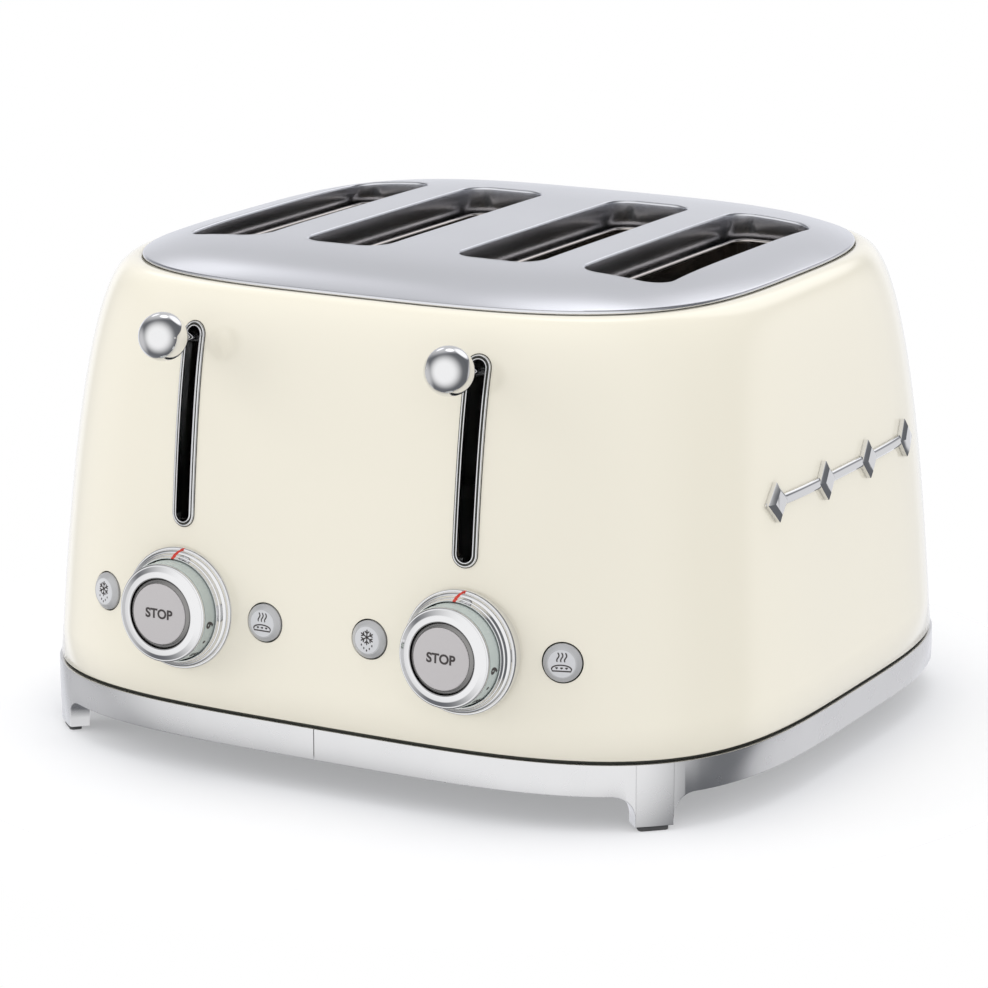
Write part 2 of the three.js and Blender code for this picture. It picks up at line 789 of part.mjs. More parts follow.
function breadRack(x) {
  const spineEnd = heaterHalfLength - 2;
  const half = armWidth / 2;
  const spine = block([x - half, rackArmEndY, rackTop - rackSpine], [x + half, spineEnd, rackTop]);
  const slats = [-2, -1, 0, 1, 2].map((step) => {
    const [y, reach] = [step * slatPitch, slotWidth / 2 - slatInset];
    const low = [x - reach, y - slatWidth / 2, rackTop - slatThickness];
    return block(low, [x + reach, y + slatWidth / 2, rackTop]);
  });
  return join(spine, ...slats);
}

function breadCage(x) {
  const end = endPlateY - sheet - 2;
  const [rail, wire] = [cageRail / 2, cageWire / 2];
  const rods = [];
  for (const side of [-1, 1]) {
    const wireX = x + side * cageHalfGap;
    for (const z of [cageLow, cageHigh - cageRail]) {
      rods.push(block([wireX - rail, -end, z], [wireX + rail, end, z + cageRail]));
    }
    for (const step of cageWireSteps) {
      const y = step * cageWirePitch;
      rods.push(block([wireX - wire, y - wire, cageLow + rail], [wireX + wire, y + wire, cageHigh - rail]));
    }
  }
  const [low, high] = [cageLow + rail - wire, cageLow + rail + wire];
  for (const step of [-1, 1]) {
    const y = (step + 0.5) * cageWirePitch;
    rods.push(block([x - cageHalfGap, y - wire, low], [x + cageHalfGap, y + wire, high]));
  }
  return join(...rods);
}

// A coil spring about the guide rod, from the carriage's bush up to the slot sheet.
class CoilCurve extends THREE.Curve {
  constructor(low, high) {
    super();
    this.low = low;
    this.high = high;
  }

  getPoint(t, target = new THREE.Vector3()) {
    const angle = 2 * Math.PI * springTurns * t;
    const z = THREE.MathUtils.lerp(this.low, this.high, t);
    return target.set(springRadius * Math.cos(angle), springRadius * Math.sin(angle), z);
  }
}

const springLow = carriageZ + bushHeight + springWire + seam;
const springHigh = rodHigh - springWire;

function liftSpring(side) {
  const half = springWire / 2;
  const wire = new THREE.Shape([
    new THREE.Vector2(-half, -half),
    new THREE.Vector2(half, -half),
    new THREE.Vector2(half, half),
    new THREE.Vector2(-half, half),
  ]);
  const extrudePath = new CoilCurve(springLow, springHigh);
  const steps = springTurns * springTurnSteps;
  const geometry = new THREE.ExtrudeGeometry(wire, { steps, bevelEnabled: false, extrudePath });
  geometry.translate(side * rodX, rodY, 0);
  return toSolid(geometry);
}

function guideRod(side) {
  const geometry = cylinder(rodRadius, worksLow, rodHigh, 16);
  geometry.translate(side * rodX, rodY, 0);
  return toSolid(geometry);
}

// ---------------------------------------------------------------- chassis, heaters and electrics
function endPlate(side, openings) {
  const middle = side * endPlateY;
  const low = [-endPlateHalfWidth, middle - sheet / 2, worksLow];
  const plate = block(low, [endPlateHalfWidth, middle + sheet / 2, slotSheetZ - seam]);
  return cut(plate, ...openings);
}

function frontEndPlate() {
  const half = armWidth / 2 + 1;
  const low = rackTop - rackSpine - leverTravel - 3;
  return endPlate(-1, slotXs.map((x) => block([x - half, -endPlateY - 5, low], [x + half, 0, rackTop + 3])));
}

function rearEndPlate() {
  const [low, high] = [worksLow + 31, worksLow + 61];
  return endPlate(1, slotXs.map((x) => block([x - 6, 0, low], [x + 6, endPlateY + 5, high])));
}

function heatShield(side) {
  const reach = endPlateY - sheet / 2 - seam;
  const outer = endPlateHalfWidth - shieldInset;
  return sideBlock(side, [outer - sheet, -reach, worksLow], [outer, reach, slotSheetZ - seam]);
}

function heaterBoard(x) {
  const half = heaterThickness / 2;
  const low = [x - half, -heaterHalfLength, heaterLow];
  const board = block(low, [x + half, heaterHalfLength, heaterHigh]);
  const notches = [];
  for (const side of [-1, 1]) {
    for (let z = heaterLow + 14; z < heaterHigh; z += notchPitch) {
      const edge = side * heaterHalfLength;
      notches.push(block([x - 2, edge - notchDepth, z], [x + 2, edge + notchDepth, z + notchHeight]));
    }
  }
  return cut(board, ...notches);
}

// A box on the back of a control board, from its near lower corner.
function boardPart(side, x, z, [width, depth, height]) {
  const y = boardY + boardThickness - partSink;
  return sideBlock(side, [x, y, z], [x + width, y + depth, z + height]);
}

function controlBoard(side) {
  const [near, far] = [setX - boardHalfWidth, setX + boardHalfWidth];
  const back = boardY + boardThickness;
  const board = sideBlock(side, [near, boardY, boardLow], [far, back, boardHigh]);
  const relay = boardPart(side, near + partMargin, boardLow + partMargin, relaySize);
  const chip = boardPart(side, setX + partMargin, boardLow + 2 * partMargin, chipSize);
  const plug = boardPart(side, far - partMargin - plugSize[0], boardHigh - 2 * plugSize[2], plugSize);
  const capacitor = cylinder(capacitorRadius, 0, capacitorHeight, 16);
  capacitor.rotateX(-Math.PI / 2);
  const capacitorX = setX + partMargin + chipSize[0] + 2 * capacitorRadius;
  capacitor.translate(side * capacitorX, back - partSink, boardLow + chipSize[0]);
  return join(board, relay, chip, plug, toSolid(capacitor));
}

function electromagnet(side) {
  const high = carriageZ - leverTravel - 1;
  const [halfX, halfY] = [magnetWidth / 2, magnetDepth / 2];
  const low = [rodX - halfX, magnetY - halfY, worksLow];
  const coil = sideBlock(side, low, [rodX + halfX, magnetY + halfY, high - 3]);
  const coreLow = [rodX - magnetCore, magnetY - magnetCore, worksLow];
  const core = sideBlock(side, coreLow, [rodX + magnetCore, magnetY + magnetCore, high]);
  return join(coil, core);
}

function terminalBlock() {
  const [x, y] = terminalLow;
  const [width, depth, height] = terminalSize;
  const [postWidth, postDepth, postHeight] = terminalPost;
  const top = worksLow + height;
  const base = block([x, y, worksLow], [x + width, y + depth, top]);
  const posts = [0, 1, 2].map((step) => {
    const low = [x + postWidth / 2 + step * terminalPitch, y + (depth - postDepth) / 2, top - 1];
    return block(low, [low[0] + postWidth, low[1] + postDepth, top + postHeight]);
  });
  return join(base, ...posts);
}

function crumbTray(side) {
  const front = baseBand(ringInner, ringOuter, ringLow, trayTop).intersect(trayWindow(side, 0));
  const panBand = { ...grown(section(shellLow), ringOuter - 1), z: trayFloor };
  const inside = solidLoft([panBand, { ...panBand, z: trayTop - trayLip }]);
  const [near, far] = [trayInnerX + traySide, trayOuterX - traySide];
  const outer = sideBlock(side, [near, trayFront, trayFloor], [far, halfDepth + 5, trayTop - trayLip]);
  const hollowLow = [near + trayWall, trayFront + trayWall, trayFloor + trayWall];
  const hollow = sideBlock(side, hollowLow, [far - trayWall, halfDepth + 20, trayTop + 5]);
  return join(front, cut(outer, hollow).intersect(inside));
}

// ---------------------------------------------------------------- assembly
add('body_shell', bodyShell(), finishes.enamel);
add('top_plate', topPlate(), finishes.satinSteel);
add('slot_frame', slotFrame(), finishes.liner);
add('base_gasket', baseGasket(), finishes.darkSeal);
add('bottom_cover', bottomCover(), finishes.sheetSteel);
add('side_trim', sideTrim(), finishes.chrome);
add('cord_gland', cordGland(), finishes.rubber);
add('front_end_plate', frontEndPlate(), finishes.sheetSteel);
add('rear_end_plate', rearEndPlate(), finishes.sheetSteel);
add('terminal_block', terminalBlock(), finishes.ceramic);

for (const [name, quarter] of cornerAngles) {
  add(`foot_pad_${name}`, footPad(quarter), finishes.rubber);
}

for (const [name, side] of sides) {
  add(`base_ring_${name}`, baseRing(side), finishes.aluminium);
  add(`heat_shield_${name}`, heatShield(side), finishes.sheetSteel);
  add(`crumb_tray_${name}`, crumbTray(side), finishes.aluminium);
  add(`lever_slot_trim_${name}`, leverSlotTrim(side), finishes.chrome);
  add(`lever_knob_${name}`, leverKnob(side), finishes.chrome);
  add(`carriage_${name}`, carriage(side), finishes.sheetSteel);
  add(`guide_rod_${name}`, guideRod(side), finishes.wire);
  add(`lift_spring_${name}`, liftSpring(side), finishes.wire);
  add(`dial_bezel_${name}`, dialBezel(side), finishes.chrome);
  add(`dial_band_${name}`, dialBand(side), finishes.numberBand);
  add(`dial_cap_${name}`, dialCap(side), finishes.chrome);
  add(`stop_button_${name}`, stopButton(side), finishes.paleGrey);
  add(`defrost_button_${name}`, pushButton(side * setX - buttonOffset), finishes.silver);
  add(`reheat_button_${name}`, pushButton(side * setX + buttonOffset), finishes.silver);
  add(`control_board_${name}`, controlBoard(side), finishes.circuit);
  add(`electromagnet_${name}`, electromagnet(side), finishes.coil);
}

slotXs.forEach((x, k) => {
  add(`bread_rack_${slotNames[k]}`, breadRack(x), finishes.wire);
  add(`bread_cage_${slotNames[k]}`, breadCage(x), finishes.wire);
});

const heaterXs = [-outsideX, -betweenX, -middleHeaterX, middleHeaterX, betweenX, outsideX];
heaterXs.forEach((x, k) => add(`heater_board_${k + 1}`, heaterBoard(x), finishes.mica));

// The origin is under the middle of the whole footprint, knobs included.
const footprint = new THREE.Box3().setFromObject(toaster);
toaster.position.y = -(footprint.min.y + footprint.max.y) / 2;

export default toaster;
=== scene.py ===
# %% [markdown]
# # A retro four-slot toaster
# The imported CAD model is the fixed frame: it says where every part is and how it moves.
# This script dresses it. Curved, visible parts are rebuilt with smooth meshes that replace
# their coarse CAD nodes, and flat works inside keep their CAD shape and get real finishes.

# %% Load the frame
import json
import math

import bmesh
import bpy
from mathutils import Matrix, Vector


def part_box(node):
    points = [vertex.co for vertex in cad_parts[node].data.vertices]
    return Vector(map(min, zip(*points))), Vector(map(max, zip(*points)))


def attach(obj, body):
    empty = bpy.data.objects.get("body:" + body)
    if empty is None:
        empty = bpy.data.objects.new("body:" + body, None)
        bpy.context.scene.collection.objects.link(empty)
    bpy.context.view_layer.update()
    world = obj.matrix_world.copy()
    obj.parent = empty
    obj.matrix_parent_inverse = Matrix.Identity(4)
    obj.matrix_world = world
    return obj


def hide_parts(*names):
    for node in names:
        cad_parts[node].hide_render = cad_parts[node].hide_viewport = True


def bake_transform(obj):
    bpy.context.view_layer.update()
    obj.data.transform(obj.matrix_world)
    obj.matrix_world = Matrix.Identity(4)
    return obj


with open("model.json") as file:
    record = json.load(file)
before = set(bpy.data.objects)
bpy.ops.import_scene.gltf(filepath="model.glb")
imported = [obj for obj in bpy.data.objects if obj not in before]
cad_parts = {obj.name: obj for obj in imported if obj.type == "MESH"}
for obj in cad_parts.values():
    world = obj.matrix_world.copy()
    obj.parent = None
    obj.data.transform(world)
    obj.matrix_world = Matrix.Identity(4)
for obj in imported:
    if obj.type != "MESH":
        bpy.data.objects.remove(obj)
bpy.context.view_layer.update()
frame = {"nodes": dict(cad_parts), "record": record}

record = frame["record"]
mm = 0.001
sides = {"left": -1, "right": 1}


def box(name):
    """The low and high corners of a CAD node."""
    return [Vector(corner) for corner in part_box(name)]


# %% [markdown]
# ## Where things are
# Every place comes from the frame. The body is a superellipse: a circle whose "squareness"
# is raised from 2 to nearly 4, so it has flat sides and wide round corners. It tapers
# upwards and rolls over into a shoulder, and one function gives its size at any height.

# %% The body's outline from the CAD boxes
low, high = box("body_shell")
shell_low, shell_rim = low.z, high.z
half_width, half_depth, middle_y = (high.x - low.x) / 2, (high.y - low.y) / 2, (high.y + low.y) / 2
low, high = box("top_plate")
plate_low, plate_top = low.z, high.z
rim_half_width, rim_half_depth = (high.x - low.x) / 2, (high.y - low.y) / 2
side_taper, front_taper = 11.0 * mm, 10.1 * mm
base_squareness, rim_squareness = 3.75, 3.41
side_shoulder = half_width - side_taper - rim_half_width
front_shoulder = half_depth - front_taper - rim_half_depth


def outline(z):
    """Half width, half depth and squareness of the body at a height."""
    t = min(max((z - shell_low) / (shell_rim - shell_low), 0), 1)
    shoulder = 1 - (1 - t ** 3) ** (1 / 3)
    squareness = base_squareness + (rim_squareness - base_squareness) * t ** 2
    return (half_width - side_taper * t - side_shoulder * shoulder,
            half_depth - front_taper * t - front_shoulder * shoulder, squareness)


def outline_point(row, angle, z, grow=0.0):
    """The point of an outline in one direction, grown sideways and lifted to z."""
    a, b, squareness = row[0] + grow, row[1] + grow, row[2]
    c, s = math.cos(angle), math.sin(angle)
    reach = (abs(c / a) ** squareness + abs(s / b) ** squareness) ** (-1 / squareness)
    return Vector((reach * c, middle_y + reach * s, z))


def front_point(x, z, lift=0.0):
    """A point on the front face, lifted off it along the surface's own direction."""
    def depth(x, z):
        a, b, squareness = outline(z)
        return middle_y - b * (1 - abs(x / a) ** squareness) ** (1 / squareness)
    step = 0.5 * mm
    slope_x = (depth(x + step, z) - depth(x - step, z)) / (2 * step)
    slope_z = (depth(x, z + step) - depth(x, z - step)) / (2 * step)
    normal = Vector((slope_x, -1, slope_z)).normalized()
    return Vector((x, depth(x, z), z)) + lift * normal


print("body half sizes (mm):", round(half_width / mm, 1), round(half_depth / mm, 1))

# %% [markdown]
# ## Camera and studio
# A long lens from the right front keeps the upright edges nearly parallel. Chrome only shows
# what surrounds it, so the world holds a room for mirrors: grey walls, a white front panel
# and a few bright patches. Real cards and lamps would do the same, but masks about a
# direction are easier to place. Matt surfaces get even light, and the camera sees white.

# %% Camera
azimuth, elevation = math.radians(29.02), math.radians(14.27)
camera_distance, camera_lens = 1.6762, 143.73
camera_target = Vector((-3.65, 6.2, 88.58)) * mm
towards_camera = Vector((math.sin(azimuth) * math.cos(elevation),
                         -math.cos(azimuth) * math.cos(elevation), math.sin(elevation)))
camera_data = bpy.data.cameras.new("camera")
camera_data.lens, camera_data.sensor_width = camera_lens, 36
camera_data.clip_end = 100
camera = bpy.data.objects.new("camera", camera_data)
camera.location = camera_target + camera_distance * towards_camera
camera.rotation_euler = (-towards_camera).to_track_quat("-Z", "Y").to_euler()
bpy.context.scene.collection.objects.link(camera)
bpy.context.scene.camera = camera
print("camera at", tuple(round(v, 3) for v in camera.location))

# %% World: white to the camera, even grey to matt surfaces, a structured room to mirrors
bpy.context.scene.view_settings.view_transform = "Standard"
world = bpy.data.worlds.new("studio")
world.use_nodes = True
bpy.context.scene.world = world
room = world.node_tree
room.nodes.clear()


def world_node(kind, **values):
    """A node of the world's tree with some of its properties set."""
    node = room.nodes.new(kind)
    for name, value in values.items():
        setattr(node, name, value)
    return node


def grey_ramp(source, stops):
    """A colour ramp over a value from -1 to 1, given as (value, (r, g, b)) stops."""
    shift = world_node("ShaderNodeMapRange")
    shift.inputs["From Min"].default_value = -1
    ramp = world_node("ShaderNodeValToRGB")
    room.links.new(source, shift.inputs["Value"])
    room.links.new(shift.outputs[0], ramp.inputs[0])
    elements = ramp.color_ramp.elements
    elements[0].color, elements[1].color = (*stops[0][1], 1), (*stops[-1][1], 1)
    for value, colour in stops[1:-1]:
        elements.new((value + 1) / 2).color = (*colour, 1)
    return ramp.outputs[0]


direction = world_node("ShaderNodeTexCoord").outputs["Generated"]
facing = world_node("ShaderNodeVectorMath", operation="DOT_PRODUCT")
facing.inputs[1].default_value = towards_camera
room.links.new(direction, facing.inputs[0])
walls = grey_ramp(facing.outputs["Value"], [
    (-1, (0.86, 0.87, 0.91)), (-0.86, (0.94, 0.95, 0.99)), (-0.82, (0.80, 0.81, 0.85)),
    (-0.74, (0.30, 0.31, 0.33)), (-0.55, (0.17, 0.175, 0.19)), (0, (0.13, 0.135, 0.145)),
    (1, (0.2, 0.205, 0.215))])


def patch(towards, outer, inner):
    """A soft-edged round mask about a direction; outer and inner are cosines."""
    aim = world_node("ShaderNodeVectorMath", operation="DOT_PRODUCT")
    aim.inputs[1].default_value = Vector(towards).normalized()
    room.links.new(direction, aim.inputs[0])
    edge = world_node("ShaderNodeMapRange", interpolation_type="SMOOTHSTEP")
    edge.inputs["From Min"].default_value, edge.inputs["From Max"].default_value = outer, inner
    room.links.new(aim.outputs["Value"], edge.inputs["Value"])
    return edge.outputs[0]


def over(mask, below, colour):
    """A colour laid over another through a mask."""
    mix = world_node("ShaderNodeMix", data_type="RGBA")
    mix.inputs["B"].default_value = (*colour, 1)
    room.links.new(mask, mix.inputs["Factor"])
    room.links.new(below, mix.inputs["A"])
    return mix.outputs["Result"]


room_view = over(patch((0.14, -0.96, 0.12), -0.02, 0.84), walls, (1, 1, 1))
for towards, outer, inner, brightness in (
        ((0.47, 0.85, -0.22), 0.84, 0.95, 0.75), ((-0.96, -0.08, -0.26), 0.82, 1.0, 0.62),
        ((-0.42, 0.60, 0.66), 0.70, 0.98, 0.62), ((0.15, 0.78, 0.61), 0.92, 0.975, 1.15),
        ((-0.21, 0.46, 0.86), 0.97, 0.992, 1.4), ((-0.63, 0.52, 0.58), 0.985, 0.996, 1.2)):
    room_view = over(patch(towards, outer, inner), room_view, (brightness, brightness, brightness * 1.02))
ray = world_node("ShaderNodeLightPath")
matt_light, mirror_light, backdrop = (world_node("ShaderNodeBackground") for _ in range(3))
matt_light.inputs["Color"].default_value = (0.93, 0.94, 0.97, 1)
matt_light.inputs["Strength"].default_value = 0.90
backdrop.inputs["Color"].default_value = (1, 1, 1, 1)
room.links.new(room_view, mirror_light.inputs["Color"])
below = matt_light
for ray_kind, above in (("Is Glossy Ray", mirror_light), ("Is Camera Ray", backdrop)):
    choice = world_node("ShaderNodeMixShader")
    room.links.new(ray.outputs[ray_kind], choice.inputs[0])
    room.links.new(below.outputs[0], choice.inputs[1])
    room.links.new(above.outputs[0], choice.inputs[2])
    below = choice
room.links.new(below.outputs[0], world_node("ShaderNodeOutputWorld").inputs["Surface"])

# %% Lamps


def soft_lamp(name, place, size, power):
    """A rectangular area lamp aimed at the body; polished parts don't show it."""
    lamp = bpy.data.lights.new(name, "AREA")
    lamp.shape, lamp.size, lamp.size_y, lamp.energy = "RECTANGLE", size[0], size[1], power
    holder = bpy.data.objects.new(name, lamp)
    holder.location = place
    holder.rotation_euler = (body_centre - Vector(place)).to_track_quat("-Z", "Y").to_euler()
    holder.visible_glossy = False
    bpy.context.scene.collection.objects.link(holder)


body_centre = Vector((0, 0, 0.1))
soft_lamp("front_left_panel", (-1.9, -1.0, 0.9), (1.3, 1.6), 13)
soft_lamp("right_panel", (1.9, 0.1, 0.9), (1.2, 1.3), 6)
soft_lamp("overhead_panel", (-0.2, 0.1, 1.9), (1.6, 1.4), 10)
print("studio ready")

# %% [markdown]
# ## Making meshes
# Most parts here are one of two things: a profile carried along a path (trims, rings, the
# shell's rows) or a profile turned about an axis (dials, buttons, knobs). Both start as a
# loop of edges and use a bmesh operator, extrude_edge_only or spin, to grow the surface.
# Real edges are never razor sharp, so a helper first rounds the corners of a profile.

# %% Mesh helpers


def rounded(corners, closed=True, steps=4):
    """Rounds the corners of a 2-D profile: each corner is (u, v) or (u, v, radius)."""
    points = []
    count = len(corners)
    for k, corner in enumerate(corners):
        here = Vector(corner[:2])
        radius = corner[2] if len(corner) > 2 else 0
        if radius == 0 or (not closed and k in (0, count - 1)):
            points.append(here)
            continue
        before, after = Vector(corners[k - 1][:2]), Vector(corners[(k + 1) % count][:2])
        back, ahead = (before - here), (after - here)
        reach = min(radius, 0.48 * back.length, 0.48 * ahead.length)
        start, end = here + reach * back.normalized(), here + reach * ahead.normalized()
        for step in range(steps + 1):
            t = step / steps
            points.append((1 - t) ** 2 * start + 2 * t * (1 - t) * here + t ** 2 * end)
    return points


def rounded_mm(corners, **options):
    """The same for corners given in millimetres."""
    return rounded([[value * mm for value in corner] for corner in corners], **options)


def sweep(stations, closed_path=False):
    """A bmesh skin through closed stations with the same number of points in the same order."""
    bm = bmesh.new()
    order = bm.verts.layers.int.new("order")
    ring = [bm.verts.new(point) for point in stations[0]]
    count = len(ring)
    for k, vertex in enumerate(ring):
        vertex[order] = k
    edges = [bm.edges.new((ring[k], ring[(k + 1) % count])) for k in range(count)]
    if not closed_path:
        bmesh.ops.contextual_create(bm, geom=edges)
    for station in list(stations[1:]) + ([stations[0]] if closed_path else []):
        made = bmesh.ops.extrude_edge_only(bm, edges=edges)["geom"]
        fresh = {item for item in made if isinstance(item, bmesh.types.BMVert)}
        edges = [item for item in made if isinstance(item, bmesh.types.BMEdge)
                 and item.verts[0] in fresh and item.verts[1] in fresh]
        for vertex in fresh:
            vertex.co = station[vertex[order]]
    if not closed_path:
        bmesh.ops.contextual_create(bm, geom=edges)
    bmesh.ops.remove_doubles(bm, verts=bm.verts, dist=1e-6)
    bmesh.ops.recalc_face_normals(bm, faces=bm.faces)
    return bm


def prism(path, axis, ends):
    """A bmesh from a flat path of (u, v, ...) points, stretched along an axis between two ends."""
    return sweep([[Vector((p[0], end, p[1]) if axis == "Y" else (p[0], p[1], end)) for p in path]
                  for end in ends])


def turned(profile, place, steps=96, closed=True):
    """A bmesh turned about the place's own Z from (radius, height) points."""
    bm = bmesh.new()
    ring = [bm.verts.new((max(point[0], 0), 0, point[1])) for point in profile]
    count = len(ring)
    edges = [bm.edges.new((ring[k], ring[(k + 1) % count]))
             for k in range(count if closed else count - 1)]
    bmesh.ops.spin(bm, geom=ring + edges, cent=(0, 0, 0), axis=(0, 0, 1), dvec=(0, 0, 0),
                   angle=2 * math.pi, steps=steps, use_merge=True, use_duplicate=False)
    bmesh.ops.remove_doubles(bm, verts=bm.verts, dist=1e-6)
    bmesh.ops.recalc_face_normals(bm, faces=bm.faces)
    bmesh.ops.transform(bm, matrix=place, verts=bm.verts)
    return bm


def add_bm(whole, part):
    """Puts a second bmesh into the first."""
    holder = bpy.data.meshes.new("holder")
    part.to_mesh(holder)
    part.free()
    whole.from_mesh(holder)
    bpy.data.meshes.remove(holder)
    return whole


def peg(radius, half_length, place, steps):
    """A round cutter about the place's own Z."""
    corners = [(0, -half_length), (radius, -half_length), (radius, half_length), (0, half_length)]
    return turned(corners, place, steps, closed=False)


def block(low, high):
    """A box between two corners."""
    bm = bmesh.new()
    low, high = Vector(low), Vector(high)
    bmesh.ops.create_cube(bm, size=1)
    bmesh.ops.scale(bm, vec=high - low, verts=bm.verts)
    bmesh.ops.translate(bm, vec=(low + high) / 2, verts=bm.verts)
    return bm


def carve(bm, *cutters):
    """Cuts shapes out of a bmesh with Blender's exact boolean and gives the result back."""
    def holder(part, name):
        mesh = bpy.data.meshes.new(name)
        part.to_mesh(mesh)
        part.free()
        thing = bpy.data.objects.new(name, mesh)
        bpy.context.scene.collection.objects.link(thing)
        return thing
    carved = holder(bm, "carved")
    tools = [holder(cutter, "cutter") for cutter in cutters]
    for tool in tools:
        modifier = carved.modifiers.new("cut", "BOOLEAN")
        modifier.operation, modifier.solver, modifier.object = "DIFFERENCE", "EXACT", tool
    evaluated = carved.evaluated_get(bpy.context.evaluated_depsgraph_get())
    result = bmesh.new()
    result.from_mesh(evaluated.to_mesh())
    for thing in [carved] + tools:
        mesh = thing.data
        bpy.data.objects.remove(thing)
        bpy.data.meshes.remove(mesh)
    return result


def piece(name, bm, material, body="root", replaced=(), sharp=32, normal_of=None):
    """Turns a bmesh into a finished object that rides on a body."""
    mesh = bpy.data.meshes.new(name)
    bm.to_mesh(mesh)
    bm.free()
    mesh.shade_smooth()
    mesh.set_sharp_from_angle(angle=math.radians(sharp))
    if normal_of:
        mesh.normals_split_custom_set_from_vertices([normal_of(vertex.co) for vertex in mesh.vertices])
    thing = bpy.data.objects.new(name, mesh)
    bpy.context.scene.collection.objects.link(thing)
    mesh.materials.append(material)
    if replaced:
        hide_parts(*replaced)
    if body:
        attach(thing, body)
    print(name, len(mesh.polygons), "faces")
    return thing


# %% [markdown]
# ## Finishes
# Three effects are shared. Fine variation changes roughness and tone a little, as handling
# and dust do. Brushed grain is noise stretched along one direction. Edge wear finds convex
# edges from the mesh's pointiness. Each is a node group, so every finish can use it with
# its own values, and each group only gives out colours or numbers.

# %% Node group helpers


def new_group(name, inputs, outputs):
    """A shader node group, with its input and output nodes."""
    group = bpy.data.node_groups.new(name, "ShaderNodeTree")
    for label, kind, value in inputs:
        socket = group.interface.new_socket(name=label, in_out="INPUT", socket_type=kind)
        socket.default_value = value
    for label, kind in outputs:
        group.interface.new_socket(name=label, in_out="OUTPUT", socket_type=kind)
    return group, group.nodes.new("NodeGroupInput"), group.nodes.new("NodeGroupOutput")


def wire(tree, *pairs):
    """Links each (output, input) pair."""
    for start, end in pairs:
        tree.links.new(start, end)


def multiply(tree, first, second, clamp=False):
    """The product of two sockets."""
    node = tree.nodes.new("ShaderNodeMath")
    node.operation, node.use_clamp = "MULTIPLY", clamp
    wire(tree, (first, node.inputs[0]), (second, node.inputs[1]))
    return node.outputs[0]


# %% Fine variation
variation, given, result = new_group(
    "fine_variation",
    [("Scale", "NodeSocketFloat", 40), ("Low", "NodeSocketFloat", 0.1), ("High", "NodeSocketFloat", 0.2)],
    [("Value", "NodeSocketFloat"), ("Mask", "NodeSocketFloat")])
coordinates = variation.nodes.new("ShaderNodeTexCoord")
clouds = variation.nodes.new("ShaderNodeTexNoise")
clouds.inputs["Detail"].default_value = 5
spread = variation.nodes.new("ShaderNodeMapRange")
spread.inputs["From Min"].default_value, spread.inputs["From Max"].default_value = 0.3, 0.7
wire(variation, (coordinates.outputs["Object"], clouds.inputs["Vector"]),
     (given.outputs["Scale"], clouds.inputs["Scale"]), (clouds.outputs[0], spread.inputs["Value"]),
     (given.outputs["Low"], spread.inputs["To Min"]), (given.outputs["High"], spread.inputs["To Max"]),
     (spread.outputs[0], result.inputs["Value"]), (clouds.outputs[0], result.inputs["Mask"]))

# %% Brushed grain
grain, given, result = new_group(
    "brushed_grain", [("Stretch", "NodeSocketVector", (1, 40, 40)), ("Scale", "NodeSocketFloat", 60)],
    [("Height", "NodeSocketFloat")])
coordinates = grain.nodes.new("ShaderNodeTexCoord")
pull = grain.nodes.new("ShaderNodeVectorMath")
pull.operation = "MULTIPLY"
strands = grain.nodes.new("ShaderNodeTexNoise")
strands.inputs["Detail"].default_value = 4
wire(grain, (coordinates.outputs["Object"], pull.inputs[0]), (given.outputs["Stretch"], pull.inputs[1]),
     (pull.outputs[0], strands.inputs["Vector"]), (given.outputs["Scale"], strands.inputs["Scale"]),
     (strands.outputs[0], result.inputs["Height"]))

# %% Edge wear
wear, given, result = new_group(
    "edge_wear", [("Amount", "NodeSocketFloat", 1.0), ("Scale", "NodeSocketFloat", 200)],
    [("Mask", "NodeSocketFloat")])
geometry = wear.nodes.new("ShaderNodeNewGeometry")
coordinates = wear.nodes.new("ShaderNodeTexCoord")
crumbs = wear.nodes.new("ShaderNodeTexNoise")
crumbs.inputs["Detail"].default_value = 6
edge = wear.nodes.new("ShaderNodeMapRange")
edge.inputs["From Min"].default_value, edge.inputs["From Max"].default_value = 0.53, 0.62
wire(wear, (coordinates.outputs["Object"], crumbs.inputs["Vector"]),
     (given.outputs["Scale"], crumbs.inputs["Scale"]), (geometry.outputs["Pointiness"], edge.inputs["Value"]))
broken = multiply(wear, edge.outputs[0], crumbs.outputs[0])
wire(wear, (multiply(wear, broken, given.outputs["Amount"], clamp=True), result.inputs["Mask"]))
print("shared effects ready")

# %% A finish with variation, wear and bump


